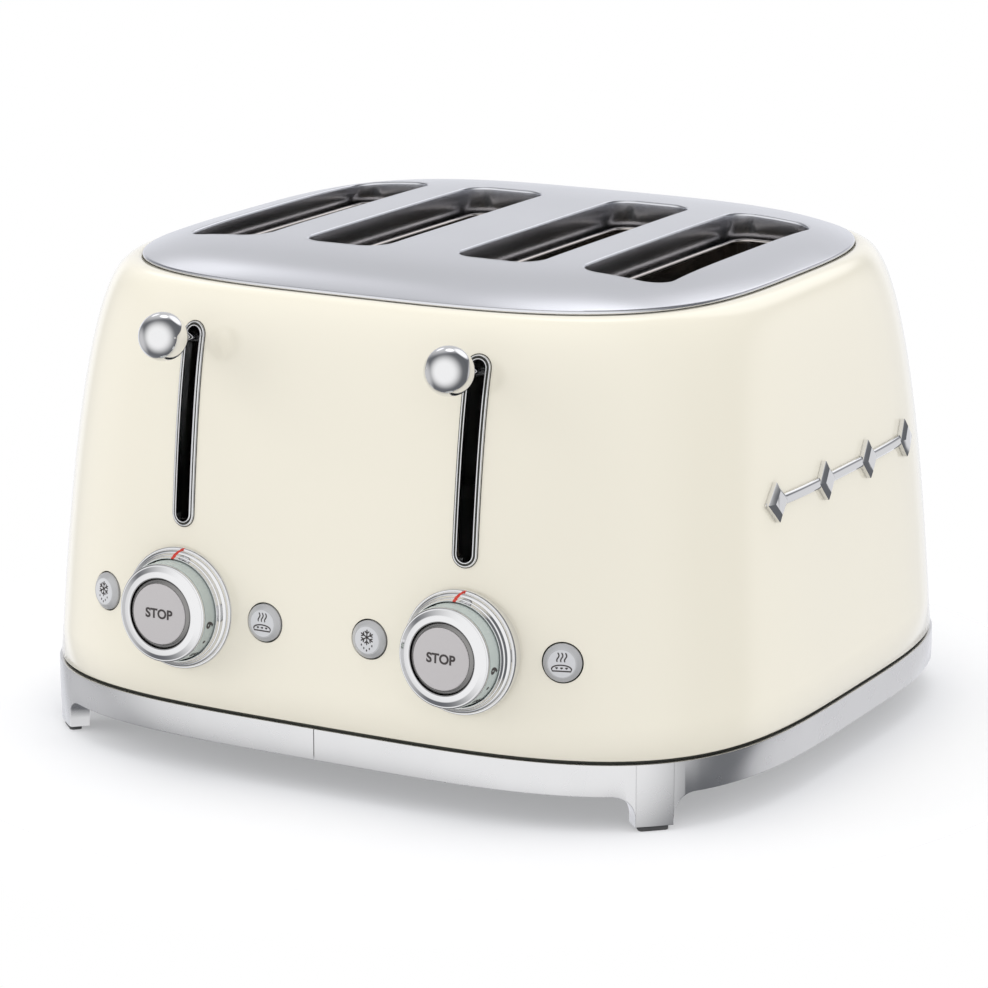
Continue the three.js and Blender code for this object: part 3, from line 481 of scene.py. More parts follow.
def finish(name, colour, worn=None, metallic=0.0, rough=(0.2, 0.3), scale=60, wear_amount=0.5,
           stretch=None, grain_scale=60, bump=0.1, bump_distance=0.02, coat=0.0, mottle=0.03):
    """A Principled material with fine variation, edge wear and either grain or pebbled bump."""
    material = bpy.data.materials.new(name)
    material.use_nodes = True
    tree = material.node_tree
    shader = tree.nodes["Principled BSDF"]
    for label, value in (("Metallic", metallic), ("IOR", 1.5), ("Coat Weight", coat),
                         ("Coat Roughness", 0.04)):
        shader.inputs[label].default_value = value

    def group(kind, **values):
        node = tree.nodes.new("ShaderNodeGroup")
        node.node_tree = kind
        for label, value in values.items():
            node.inputs[label].default_value = value
        return node
    vary = group(variation, Scale=scale, Low=rough[0], High=rough[1])
    rub = group(wear, Amount=wear_amount)
    tone = group(variation, Scale=scale * 0.23, Low=1 - mottle, High=1 + mottle)
    shade = tree.nodes.new("ShaderNodeVectorMath")
    shade.operation = "SCALE"
    shade.inputs[0].default_value = colour
    tree.links.new(tone.outputs["Value"], shade.inputs["Scale"])
    mixed = tree.nodes.new("ShaderNodeMix")
    mixed.data_type = "RGBA"
    mixed.inputs["B"].default_value = (*(worn or colour), 1)
    wire(tree, (rub.outputs["Mask"], mixed.inputs["Factor"]), (shade.outputs[0], mixed.inputs["A"]),
         (mixed.outputs["Result"], shader.inputs["Base Color"]),
         (vary.outputs["Value"], shader.inputs["Roughness"]))
    relief = tree.nodes.new("ShaderNodeBump")
    relief.inputs["Strength"].default_value = bump
    relief.inputs["Distance"].default_value = bump_distance * mm
    if stretch:
        strands = group(grain, Stretch=stretch, Scale=grain_scale)
        tree.links.new(strands.outputs["Height"], relief.inputs["Height"])
    else:
        pebbles = group(variation, Scale=grain_scale)
        tree.links.new(pebbles.outputs["Mask"], relief.inputs["Height"])
    tree.links.new(relief.outputs[0], shader.inputs["Normal"])
    return material


enamel = finish("cream_enamel", (0.89, 0.84, 0.70), worn=(0.90, 0.86, 0.74), rough=(0.10, 0.17),
                scale=30, wear_amount=0.2, grain_scale=420, bump=0.05, bump_distance=0.03, coat=0.6,
                mottle=0.008)
plate_steel = finish("polished_plate_steel", (0.80, 0.81, 0.85), metallic=1, rough=(0.22, 0.27), scale=25,
                     wear_amount=0.0, stretch=(1, 60, 60), grain_scale=30, bump=0.03, mottle=0.02)
chrome = finish("chrome", (0.86, 0.86, 0.87), metallic=1, rough=(0.03, 0.07), scale=80, wear_amount=0.2,
                grain_scale=900, bump=0.015, mottle=0.01)
aluminium = finish("satin_aluminium", (0.80, 0.80, 0.81), metallic=1, rough=(0.22, 0.30), wear_amount=0.4,
                   stretch=(1, 1, 90), grain_scale=90, bump=0.05, mottle=0.02)
# painted shade: this near-black finish colours only strips that stand for shadow, in the lever trim grooves
# and in the gap above the base ring
dark_seal = finish("dark_seal", (0.035, 0.036, 0.026), worn=(0.06, 0.06, 0.05), rough=(0.5, 0.7),
                   grain_scale=700, bump=0.2)
rubber = finish("foot_rubber", (0.06, 0.06, 0.06), worn=(0.12, 0.12, 0.12), rough=(0.65, 0.85),
                grain_scale=900, bump=0.3, bump_distance=0.05)
sheet_steel = finish("zinc_sheet", (0.42, 0.43, 0.44), worn=(0.6, 0.6, 0.6), metallic=1, rough=(0.3, 0.5),
                     scale=90, grain_scale=300, bump=0.08, mottle=0.12)
liner_steel = finish("liner_steel", (0.60, 0.56, 0.53), metallic=1, rough=(0.12, 0.2), scale=70,
                     stretch=(60, 60, 1), bump=0.05, mottle=0.06)
mica = finish("mica_board", (0.52, 0.46, 0.37), worn=(0.66, 0.6, 0.5), rough=(0.3, 0.55), scale=120,
              grain_scale=250, bump=0.25, bump_distance=0.1, mottle=0.2)
wire_steel = finish("wire_steel", (0.55, 0.54, 0.53), metallic=1, rough=(0.2, 0.35), scale=140,
                    grain_scale=500, bump=0.05, mottle=0.08)
circuit = finish("circuit_board", (0.03, 0.16, 0.06), worn=(0.3, 0.3, 0.2), rough=(0.3, 0.5), scale=150,
                 grain_scale=240, bump=0.2, mottle=0.25)
copper_coil = finish("wound_coil", (0.50, 0.20, 0.07), metallic=0.8, rough=(0.25, 0.4),
                     stretch=(1, 1, 60), grain_scale=50, bump=0.5, bump_distance=0.2, mottle=0.1)
ceramic = finish("ceramic", (0.78, 0.75, 0.68), worn=(0.85, 0.83, 0.78), rough=(0.25, 0.5),
                 grain_scale=400, bump=0.15, mottle=0.05)
band_paint = finish("number_band", (0.50, 0.55, 0.52), worn=(0.58, 0.62, 0.59), rough=(0.42, 0.55),
                    grain_scale=900, bump=0.08, mottle=0.02)
silver_plastic = finish("silver_plastic", (0.53, 0.53, 0.53), worn=(0.7, 0.7, 0.7), metallic=0.3,
                        rough=(0.28, 0.38), grain_scale=900, bump=0.06, mottle=0.02)
pale_grey = finish("pale_grey_face", (0.55, 0.525, 0.52), worn=(0.7, 0.68, 0.67), metallic=0.1,
                   rough=(0.32, 0.42), grain_scale=900, bump=0.05, mottle=0.015)
face_grey = finish("button_face", (0.66, 0.66, 0.665), worn=(0.7, 0.7, 0.7), rough=(0.35, 0.45),
                   grain_scale=900, bump=0.05, mottle=0.015)
# painted shade: a dark grey steel for the stop button's sloping ring, standing for the shade in the recess
# round its pale face
stop_recess_shade_steel = finish("stop_recess_painted_shade", (0.30, 0.295, 0.29), metallic=1, grain_scale=700, bump=0.03)
ink = finish("dark_ink", (0.035, 0.028, 0.026), worn=(0.09, 0.08, 0.08), rough=(0.45, 0.6),
             grain_scale=900, mottle=0.08)
red_ink = finish("red_ink", (0.62, 0.03, 0.015), worn=(0.5, 0.08, 0.05), rough=(0.3, 0.42),
                 grain_scale=900, mottle=0.06)
heater_wire = finish("heater_ribbon", (0.34, 0.33, 0.32), metallic=1, rough=(0.35, 0.5), scale=200,
                     grain_scale=600, mottle=0.15)
print("finishes:", len(bpy.data.materials))

# %% [markdown]
# ## Floor
# The object stands on pale paper. A whole floor would grey the white backdrop, so the paper
# is opaque only near the middle and fades out with distance, keeping just the soft shadow.

# %% Floor
floor_bm = bmesh.new()
bmesh.ops.create_grid(floor_bm, x_segments=1, y_segments=1, size=6)
floor_mesh = bpy.data.meshes.new("floor")
floor_bm.to_mesh(floor_mesh)
floor_bm.free()
floor_object = bpy.data.objects.new("floor", floor_mesh)
bpy.context.scene.collection.objects.link(floor_object)
paper = finish("floor_paper", (0.95, 0.95, 0.96), rough=(0.8, 0.9), scale=3, wear_amount=0, grain_scale=300,
               bump=0.02, mottle=0.004)
tree = paper.node_tree
floor_coordinates, distance, fade = (tree.nodes.new("ShaderNode" + kind)
                                     for kind in ("TexCoord", "VectorMath", "MapRange"))
distance.operation = "LENGTH"
fade.interpolation_type = "SMOOTHSTEP"
for label, value in (("From Min", 0.16), ("From Max", 0.31), ("To Min", 0.74), ("To Max", 0.0)):
    fade.inputs[label].default_value = value
wire(tree, (floor_coordinates.outputs["Object"], distance.inputs[0]),
     (distance.outputs["Value"], fade.inputs["Value"]),
     (fade.outputs[0], tree.nodes["Principled BSDF"].inputs["Alpha"]))
floor_mesh.materials.append(paper)
floor_object.visible_glossy = False
print("floor staged")

# %% [markdown]
# ## The enamelled shell
# The real shell is deep-drawn steel under glossy enamel: flat-looking sides that curve all
# over. A subdivided box would wander off the true outline, so the outline itself is drawn
# as a loop of edges and extruded row by row up the outside, round a small rolled lip and
# down the inside. Rows crowd together where the shoulder bends most.

# %% Shell rows
columns = [2 * math.pi * k / 240 for k in range(240)]
shell_wall = 1.0 * mm
shoulder_rows = 64


def skin_row(t, inset):
    """The outline at a share of the height, moved inwards along the surface's slope."""
    z = shell_low + t * (shell_rim - shell_low)
    step = 0.02 * mm
    below, above = outline(z - step), outline(min(z + step, shell_rim))
    slope = math.pi / 2
    if t < 1:
        slope = math.atan((below[0] - above[0] + below[1] - above[1]) / 2 / (2 * step))
    lowered = z - inset * math.sin(slope)
    return [outline_point(outline(z), angle, lowered, -inset * math.cos(slope)) for angle in columns]


shares = [math.sin(math.pi / 2 * k / shoulder_rows) ** (2 / 3) for k in range(shoulder_rows + 1)]
hem, hem_drop = 0.3 * mm, 0.3 * mm
rows = [skin_row(t, 0) for t in shares]
hem_z = shell_low - hem_drop
rows[0] = [outline_point(outline(shell_low), angle, hem_z + hem) for angle in columns]
inner = [skin_row(t, shell_wall) for t in reversed(shares)]
inner[-1] = [outline_point(outline(shell_low), angle, hem_z, -shell_wall) for angle in columns]
hem_row = [outline_point(outline(shell_low), angle, hem_z, -hem) for angle in columns]
shell_bm = sweep([hem_row] + rows + inner, closed_path=True)
print("shell rows:", 1 + len(rows) + len(inner))

# %% [markdown]
# ## Control places and their holes
# Every dial and button sits in a round hole, square to the wall. The joint in the record
# says which way each one moves, so the same direction sets up its place. The holes are cut
# with Blender's exact boolean: modelling them into the rows would bend the smooth wall.

# %% Control places from the record's joints
joints = {joint["name"]: joint for joint in record["behaviour"]["joints"]}


def control_place(joint_name, centre):
    """A matrix at a control's centre on the shell, with Z pointing out along its axis and Y up."""
    out = -Vector(joints[joint_name]["axis"]).normalized()
    right = Vector((0, 0, 1)).cross(out).normalized()
    turn = Matrix((right, out.cross(right), out)).transposed()
    return Matrix.Translation(centre) @ turn.to_4x4()


dial_places = {}
for side in sides:
    dial_joint = "dial_turn_" + side
    dial_places[side] = control_place(dial_joint, joints[dial_joint]["pos_m"])
button_offset, button_z = 40.5 * mm, 66.9 * mm
button_places = {}
for side in sides:
    dial_x = dial_places[side].translation.x
    for kind, offset in (("defrost", -button_offset), ("reheat", button_offset)):
        centre = front_point(dial_x + offset, button_z)
        button_places[kind, side] = control_place(f"{kind}_press_{side}", centre)
print("dial centre (mm):", [round(v / mm, 1) for v in dial_places["left"].translation])

# %% Holes for the levers, dials and buttons
low, high = box("lever_slot_trim_right")
trim_centre_x, trim_half = (low.x + high.x) / 2, (high.x - low.x) / 2
slot_low, slot_high = low.z, high.z
opening_half, trim_lap = 3.1 * mm, 1.3 * mm
dial_hole, button_hole = 21.9 * mm, 8.2 * mm


def stadium(centre_x, half, low, high, arc_steps=16, wall_steps=20):
    """Points (x, z) with their outward direction round an upright slot."""
    points = []
    for k in range(arc_steps + 1):
        angle = math.pi * k / arc_steps
        points.append((centre_x + half * math.cos(angle), high - half + half * math.sin(angle),
                       math.cos(angle), math.sin(angle)))
    for k in range(1, wall_steps):
        points.append((centre_x - half, high - half + (low - high + 2 * half) * k / wall_steps, -1, 0))
    for k in range(arc_steps + 1):
        angle = math.pi * (1 + k / arc_steps)
        points.append((centre_x + half * math.cos(angle), low + half + half * math.sin(angle),
                       math.cos(angle), math.sin(angle)))
    for k in range(1, wall_steps):
        points.append((centre_x + half, low + half + (high - low - 2 * half) * k / wall_steps, 1, 0))
    return points


cutters = []
for side, sign in sides.items():
    path = stadium(sign * trim_centre_x, opening_half + trim_lap, slot_low + 1.0 * mm, slot_high - 1.0 * mm)
    cutters.append(prism(path, "Y", (-half_depth - 20 * mm, -half_depth / 2)))
    cutters.append(peg(dial_hole, 30 * mm, dial_places[side], 64))
cutters += [peg(button_hole, 20 * mm, place, 48) for place in button_places.values()]


def shell_normal(point):
    """The true direction of the outer skin, or zero away from it so Blender works it out."""
    z = point.z
    if z > shell_rim - 0.05 * mm or z < shell_low + 0.2 * mm:
        return (0, 0, 0)

    def level(x, y, z):
        a, b, squareness = outline(z)
        return (abs(x / a) ** squareness + abs((y - middle_y) / b) ** squareness) ** (1 / squareness)
    x, y = point.x, point.y
    here = level(x, y, z)
    if abs(here - 1) > 0.0006:
        return (0, 0, 0)
    step = 0.02 * mm
    slope = Vector((level(x + step, y, z) - level(x - step, y, z),
                    level(x, y + step, z) - level(x, y - step, z),
                    level(x, y, z + step) - level(x, y, z - step)))
    return slope.normalized()


piece("shell_enamel", carve(shell_bm, *cutters), enamel, replaced=["body_shell"],
      normal_of=shell_normal)

# %% [markdown]
# ## The top plate
# One pressing of polished steel: almost flat in the middle, falling away faster and faster
# towards a small rolled edge. Its rows are the rim outline shrunk towards the middle, so it
# meets the shell all round, which a bent flat sheet would not. The bread slots are cut with
# a margin, and a swept strip with a true fillet fills it and turns down into the slot: a
# bevel on a boolean edge is rarely this clean.

# %% Plate surface
plate_base = shell_rim + 0.5 * mm
plate_edge_height = 0.9 * mm
plate_dome = plate_top - plate_base - plate_edge_height
plate_fall = 6.9
plate_thickness = 1.2 * mm
rim_outline = (rim_half_width, rim_half_depth, rim_squareness)


def dome(x, y):
    """The height of the plate's upper face."""
    share = (abs(x / rim_half_width) ** rim_squareness
             + abs((y - middle_y) / rim_half_depth) ** rim_squareness) ** (1 / rim_squareness)
    return plate_base + plate_edge_height + plate_dome * (1 - min(share, 1) ** plate_fall)


def dome_row(share, drop=0.0):
    """A row of the plate at a share of its rim outline."""
    shrunk = (rim_half_width * share, rim_half_depth * share, rim_squareness)
    ring = [outline_point(shrunk, angle, 0) for angle in columns]
    for point in ring:
        point.z = dome(point.x, point.y) - drop
    return ring


def dome_normal(point):
    """The true direction of the upper face, or zero away from it."""
    if abs(point.z - dome(point.x, point.y)) > 0.03 * mm:
        return (0, 0, 0)
    step = 0.1 * mm
    slope_x = (dome(point.x + step, point.y) - dome(point.x - step, point.y)) / (2 * step)
    slope_y = (dome(point.x, point.y + step) - dome(point.x, point.y - step)) / (2 * step)
    return Vector((-slope_x, -slope_y, 1)).normalized()


roll = 1.3 * mm
roll_z = plate_base + 0.2 * mm
top_shares = [0.04, 0.2, 0.36, 0.48, 0.58, 0.66, 0.72, 0.77, 0.81, 0.84, 0.865, 0.885, 0.9, 0.915, 0.93,
              0.943, 0.955, 0.966, 0.976, 0.985]
plate_rows = [dome_row(share) for share in top_shares]
for step in range(9):
    angle = math.radians(64 - 104 * step / 8)
    grow, z = -roll + roll * math.cos(angle), roll_z + roll * math.sin(angle) * 0.95
    plate_rows.append([outline_point(rim_outline, a, z, grow) for a in columns])
plate_rows += [dome_row(share, plate_thickness) for share in reversed(top_shares[:-2])]
plate_bm = sweep(plate_rows)
print("plate rows:", len(plate_rows))

# %% Slot outlines
slot_xs = []
for rack in ("far_left", "mid_left", "mid_right", "far_right"):
    low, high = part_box("bread_cage_" + rack)
    slot_xs.append((low[0] + high[0]) / 2)
slot_half_x, slot_half_y, slot_corner = 19.0 * mm, 72.5 * mm, 10.5 * mm


def slot_path(centre_x, inset=0.0, arc_steps=14, wall_step=4 * mm):
    """Points (x, y) with their outward direction round a bread slot, shrunk by an inset."""
    points = []
    for quarter, (sx, sy) in enumerate(((1, 1), (-1, 1), (-1, -1), (1, -1))):
        cx, cy = centre_x + sx * (slot_half_x - slot_corner), middle_y + sy * (slot_half_y - slot_corner)
        for k in range(arc_steps + 1):
            angle = math.pi / 2 * (quarter + k / arc_steps)
            nx, ny = math.cos(angle), math.sin(angle)
            points.append((cx + (slot_corner - inset) * nx, cy + (slot_corner - inset) * ny, nx, ny))
    dense = []
    for k, here in enumerate(points):
        after = points[(k + 1) % len(points)]
        dense.append(here)
        gap = math.hypot(after[0] - here[0], after[1] - here[1])
        count = int(gap / wall_step)
        for j in range(1, count):
            t = j / count
            dense.append(tuple(here[i] + (after[i] - here[i]) * t for i in range(4)))
    return dense


strip_width = 2.0 * mm
slot_cutters = [prism(slot_path(centre_x, -strip_width), "Z", (plate_low - 10 * mm, plate_top + 10 * mm))
                for centre_x in slot_xs]
piece("plate_steel", carve(plate_bm, *slot_cutters), plate_steel, replaced=["top_plate"],
      normal_of=dome_normal)

# %% Slot edges turned down
edge_round = 1.1 * mm
flange_wall = 0.8 * mm
edges_bm = bmesh.new()
for centre_x in slot_xs:
    stations = []
    for x, y, nx, ny in slot_path(centre_x):
        def at(d, drop):
            return Vector((x + d * nx, y + d * ny, dome(x + d * nx, y + d * ny) - drop))
        station = [at(strip_width, 0), at(1.6 * mm, 0), at(edge_round, 0)]
        rest = dome(x + edge_round * nx, y + edge_round * ny) - edge_round
        for k in range(1, 7):
            angle = math.pi / 2 * k / 6
            d = edge_round * (1 - math.sin(angle))
            station.append(Vector((x + d * nx, y + d * ny, rest + edge_round * math.cos(angle))))
        for d, z in ((0, plate_low + 0.3 * mm), (0.15 * mm, plate_low), (flange_wall - 0.15 * mm, plate_low),
                     (flange_wall, plate_low + 0.3 * mm)):
            station.append(Vector((x + d * nx, y + d * ny, z)))
        station += [at(flange_wall, plate_thickness), at(strip_width, plate_thickness)]
        stations.append(station)
    add_bm(edges_bm, sweep(stations, closed_path=True))
piece("slot_edges", edges_bm, plate_steel, normal_of=dome_normal, sharp=50)

# %% [markdown]
# ## The slot liners
# Inside each slot a dark steel collar guides the bread. Its rolled upper rim catches the
# light as one bright line that runs all round, a little below the polished edge. Sweeping
# one section round the slot makes bead and wall together, where an extrusion gives only
# the wall.

# %% Collars and their carrier sheet
low, high = box("slot_frame")
collar_inset, collar_wall, bead = 2.5 * mm, 0.8 * mm, 1.0 * mm
sheet_low, sheet_high = 186 * mm, 187 * mm
collar_middle = collar_inset + collar_wall / 2
collar_profile = []
for k in range(13):
    angle = math.radians(-50 + 280 * k / 12)
    collar_profile.append((-collar_middle + bead * math.cos(angle), high.z - bead + bead * math.sin(angle)))
collar_profile += [(-collar_inset - collar_wall, low.z + 0.3 * mm), (-collar_middle, low.z),
                   (-collar_inset, low.z + 0.3 * mm)]
liners_bm = bmesh.new()
for centre_x in slot_xs:
    stations = [[Vector((x + d * nx, y + d * ny, z)) for d, z in collar_profile]
                for x, y, nx, ny in slot_path(centre_x)]
    add_bm(liners_bm, sweep(stations, closed_path=True))
sheet_cutters = [prism(slot_path(centre_x, collar_middle), "Z", (180 * mm, 190 * mm)) for centre_x in slot_xs]
sheet_bm = block((low.x, low.y, sheet_low), (high.x, high.y, sheet_high))
add_bm(liners_bm, carve(sheet_bm, *sheet_cutters))
piece("slot_liners", liners_bm, liner_steel, replaced=["slot_frame"])

# %% [markdown]
# ## Base ring, legs and painted gap shadow
# The ring is a cast aluminium band in two halves. Its section is carried along the base
# outline, and the lower edge of the section follows the legs: straight down their sides
# and out through a quarter-round fillet. Legs joined on with a boolean would leave a crease
# where the casting is smooth. Above it a near-black strip, the CAD's gasket node, paints the
# shadow in the gap between shell and ring.

# %% Ring stations
low, high = box("base_ring_right")
ring_high, leg_low = high.z + 0.3 * mm, low.z
ring_out, ring_in, leg_in = 0.8 * mm, -1.2 * mm, -6.2 * mm
ring_low, leg_step = 14.3 * mm, 14.65 * mm
leg_half, leg_fillet = 7.65 * mm, 9.0 * mm
ring_edge, ring_bevel = 0.45 * mm, 0.13 * mm
leg_corner = ((30, 0.0), (12, 0.1), (4, 0.22), (1, 0.4))  # steps from a leg's side, and mm inwards
tiny_angle, fine_angle, coarse_angle = 1e-5, 0.0035, 0.017
fit = 0.35 * mm
low, high = box("crumb_tray_right")
window_near, window_far, window_top = low.x - fit, high.x + fit, high.z + fit
base_outline = outline(shell_low)
foot_centres = []
for name in ("front_left", "front_right", "rear_right", "rear_left"):
    low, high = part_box("foot_pad_" + name)
    foot_centres.append(Vector(((low[0] + high[0]) / 2, (low[1] + high[1]) / 2, 0)))


def leg_distance(point):
    """Distance along the ring from the nearest leg's middle line."""
    best = 1.0
    for foot in foot_centres:
        if (foot.x > 0) != (point.x > 0) or (foot.y > middle_y) != (point.y > middle_y):
            continue
        out = Vector((math.copysign(1 / (base_outline[0] + ring_out), foot.x),
                      math.copysign(1 / (base_outline[1] + ring_out), foot.y - middle_y), 0)).normalized()
        along = Vector((-out.y, out.x, 0))
        best = min(best, abs((point - foot).dot(along)))
    return best


def ring_angles(side):
    """Angles from the front middle round to the rear middle, crowded at the legs."""
    angles, angle = [], -math.pi / 2
    while angle < math.pi / 2:
        angles.append(angle)
        near = leg_distance(outline_point(base_outline, angle, 0))
        angle += fine_angle if near < leg_half + leg_fillet + 2 * mm else coarse_angle
    angles.append(math.pi / 2)
    return angles if side == "right" else [math.pi - a for a in angles]


def ring_section(angle, inset=0.0, low=None):
    """The ring's closed section at one place; low is a lower edge that leaves room for a tray."""
    near = leg_distance(outline_point(base_outline, angle, 0, ring_out))
    bottom, inner_edge = ring_low, ring_in
    if near < leg_half + leg_fillet:
        rise = math.sqrt(max(leg_fillet ** 2 - (leg_half + leg_fillet - near) ** 2, 0))
        bottom, inner_edge = ring_low - leg_fillet + rise, leg_in
    if near <= leg_half:
        bottom = leg_low
    if low is not None:
        bottom, inner_edge = low, ring_in
    face, step_z = ring_out - inset, max(leg_step, bottom + 0.02 * mm)
    profile = [(face - ring_edge, ring_high), (face - ring_bevel, ring_high - ring_bevel),
               (face, ring_high - ring_edge), (face, bottom + ring_edge),
               (face - ring_bevel, bottom + ring_bevel), (face - ring_edge, bottom),
               (inner_edge, bottom), (inner_edge, step_z), (ring_in, step_z + 0.01 * mm),
               (ring_in, ring_high)]
    return [outline_point(base_outline, angle, z, d) for d, z in profile]


# %% The two halves
for side, sign in sides.items():
    stations, was = [], None
    for angle in ring_angles(side):
        at_middle = outline_point(base_outline, angle, 0, ring_out)
        near, x = leg_distance(at_middle), abs(at_middle.x)
        window = at_middle.y > middle_y + half_depth / 2 and window_near < x < window_far
        if was:
            was_angle, was_near, was_x, was_window = was
            tiny = math.copysign(tiny_angle, angle - was_angle)
            if (was_near <= leg_half) != (near <= leg_half):
                exact = was_angle + (leg_half - was_near) / (near - was_near) * (angle - was_angle)
                if was_near <= leg_half:
                    stations += [ring_section(exact - 2 * k * tiny, inset * mm) for k, inset in leg_corner]
                    stations.append(ring_section(exact + 2 * tiny))
                else:
                    stations.append(ring_section(exact - 2 * tiny))
                    stations += [ring_section(exact + 2 * k * tiny, inset * mm)
                                 for k, inset in reversed(leg_corner)]
            if window != was_window:
                target = window_far if window else window_near
                exact = was_angle + (was_x - target) / (was_x - x) * (angle - was_angle)
                stations.append(ring_section(exact, low=window_top if was_window else None))
                stations.append(ring_section(exact + tiny, low=window_top if window else None))
        stations.append(ring_section(angle, low=window_top if window else None))
        was = (angle, near, x, window)
    for station in (stations[0], stations[-1]):
        for point in station:
            point.x = sign * fit / 2
    piece(f"ring_{side}", sweep(stations), aluminium, replaced=[f"base_ring_{side}"],
          sharp=28)

# %% Painted gap shadow: a near-black strip, the CAD's gasket, standing for the shadow between shell and ring
low, high = box("base_gasket")
gap_shadow_profile = rounded([(-1.0 * mm, low.z, 0.3 * mm), (-1.0 * mm, high.z, 0.3 * mm),
                          (-6.0 * mm, high.z), (-6.0 * mm, low.z)])
gap_shadow_strip = [[outline_point(base_outline, angle, z, d) for d, z in gap_shadow_profile] for angle in columns]
piece("gap_shadow_strip", sweep(gap_shadow_strip, closed_path=True), dark_seal, replaced=["base_gasket"])

# %% [markdown]
# ## Lever slots and knobs
# A chrome surround lines each lever slot: a rounded bead, a groove and an outer lip, which
# read as two bright lines. Near-black strips laid in the groove and just outside the lip paint
# the shade between and around them. The profile is given as distance from the slot's edge and height
# off the shell, so the trim follows the curved front wherever it goes.

# %% Lever slot surrounds
surround_profile = rounded_mm([
    (0, -3), (0, 0.3, 0.1), (0.2, 0.9, 0.15), (0.55, 0.9, 0.15), (0.75, 0.1, 0.05), (1.3, 0.1, 0.05),
    (1.5, 0.85, 0.2), (1.9, 0.75, 0.2), (2.15, 0.2, 0.08), (2.15, -0.1), (1.1, -0.1), (1.1, -3)])
# painted shade: two near-black strips, one in the groove and one along the outer edge, stand for the shadow
# lines there
painted_shade_profiles = [[(near * mm, -0.05 * mm), (far * mm, -0.05 * mm), (far * mm, top * mm), (near * mm, top * mm)]
                for near, far, top in ((0.78, 1.28, 0.25), (2.12, 2.42, 0.12))]
for side, sign in sides.items():
    edge_gap = trim_half - opening_half
    path = stadium(sign * trim_centre_x, opening_half, slot_low + edge_gap, slot_high - edge_gap)

    def carried(profile):
        return sweep([[front_point(x + d * nx, z + d * nz, lift) for d, lift in profile]
                      for x, z, nx, nz in path], closed_path=True)
    piece(f"lever_surround_{side}", carried(surround_profile), chrome,
          replaced=[f"lever_slot_trim_{side}"])
    # painted shade strips in the groove and just outside the lip
    piece(f"lever_painted_shade_{side}", add_bm(carried(painted_shade_profiles[0]), carried(painted_shade_profiles[1])), dark_seal)

# %% Knobs: a ball on a thin stem with a small collar
ball, stem, collar = 9.8 * mm, 2.3 * mm, 3.2 * mm
stem_rise = math.radians(11)
inward, right = Vector((0, math.cos(stem_rise), -math.sin(stem_rise))), Vector((1, 0, 0))
knob_turn = Matrix((right, inward.cross(right), inward)).transposed().to_4x4()
collar_foot = ball * math.cos(math.asin(collar / ball))
ball_profile = [(ball * math.sin(math.pi * k / 40), -ball * math.cos(math.pi * k / 40)) for k in range(37)]
ball_profile = [point for point in ball_profile if point[1] < collar_foot or point[0] > collar]
for side in sides:
    low, high = box("lever_knob_" + side)
    centre = Vector(((low.x + high.x) / 2, low.y + ball, high.z - ball))
    length = (high.y - 0.5 * mm - centre.y) / math.cos(stem_rise)
    profile = ball_profile + [
        (collar, collar_foot + 0.2 * mm), (collar, ball + 0.5 * mm), (collar - 0.3 * mm, ball + 0.8 * mm),
        (stem, ball + 0.9 * mm), (stem, length - 0.3 * mm), (stem - 0.3 * mm, length), (0, length)]
    piece(f"knob_{side}", turned(profile, Matrix.Translation(centre) @ knob_turn, 64, closed=False), chrome,
          body="lever_" + side, replaced=["lever_knob_" + side], sharp=50)

# %% [markdown]
# ## Dials
# Each dial is a stack of turned parts: a fixed stepped bezel, a pale number band, a chrome
# cap and a stop button in the middle. Cylinders with bevels would do for one step, but not
# for a stack of fine ones, so each profile is drawn once as (radius, height) corners in
# millimetres, with a rounding each, and bmesh's spin turns it.

# %% Dial profiles
bezel_profile = rounded_mm([
    (20.8, -3), (20.8, 6.7, 0.2), (21.3, 6.8, 0.22), (21.75, 5.5, 0.15), (22.2, 5.35, 0.25),
    (22.65, 4.1, 0.12), (23.15, 3.9, 0.25), (23.75, 3.4, 0.3), (23.95, 2.1, 0.12), (24.5, 2.2, 0.3),
    (25.0, 1.4, 0.5), (25.0, 0.35, 0.15), (24.5, 0.1, 0.1), (24.5, -4.2)], steps=5)
band_profile = rounded_mm([
    (19.0, 1.0), (20.4, 1.0, 0.3), (20.4, 3.0, 0.5), (20.05, 12.7, 0.3), (18.6, 12.7), (18.6, 2.5)])
cap_profile = rounded_mm([
    (14.3, 8.0), (15.4, 8.0), (15.4, 13.05), (19.9, 13.05, 0.15), (19.9, 13.7, 0.35), (19.3, 14.2, 0.2),
    (19.0, 14.1, 0.15), (16.9, 15.5, 0.3), (14.7, 15.7, 0.2), (14.3, 15.2, 0.1)], steps=6)
stop_profile = rounded_mm([
    (0, 9.0), (13.2, 9.0), (13.9, 12.6, 0.2), (13.9, 14.6, 0.25), (12.55, 15.7, 0.2), (12.4, 15.3),
    (0, 15.3)], closed=False)
stop_face_profile = rounded_mm([(0, 14.4), (12.3, 14.4), (12.3, 16.0, 0.5), (0, 16.1)], closed=False)

# %% Dial stacks
for side, place in dial_places.items():
    dial, stop = "dial_" + side, "stop_" + side
    piece(f"bezel_{side}", turned(bezel_profile, place, 128), chrome, replaced=["dial_bezel_" + side])
    piece(f"band_{side}", turned(band_profile, place), band_paint, body=dial,
          replaced=["dial_band_" + side])
    piece(f"cap_{side}", turned(cap_profile, place, 128), chrome, body=dial,
          replaced=["dial_cap_" + side])
    # painted shade: the stop button's body is dark grey so its sloping ring reads as the shaded recess round
    # the face
    piece(f"stop_ring_{side}", turned(stop_profile, place), stop_recess_shade_steel, body=stop,
          replaced=["stop_button_" + side])
    piece(f"stop_face_{side}", turned(stop_face_profile, place, closed=False), pale_grey, body=stop)

# %% [markdown]
# ## Printed marks
# Printing could be an image texture, but thin real letters stay crisp at any distance. Text
# starts as a Blender text object, which is turned into a mesh at the origin, made very thin,
# then bent or moved into place. The index mark, numerals and button icons are generic.

# %% Text and line-art helpers


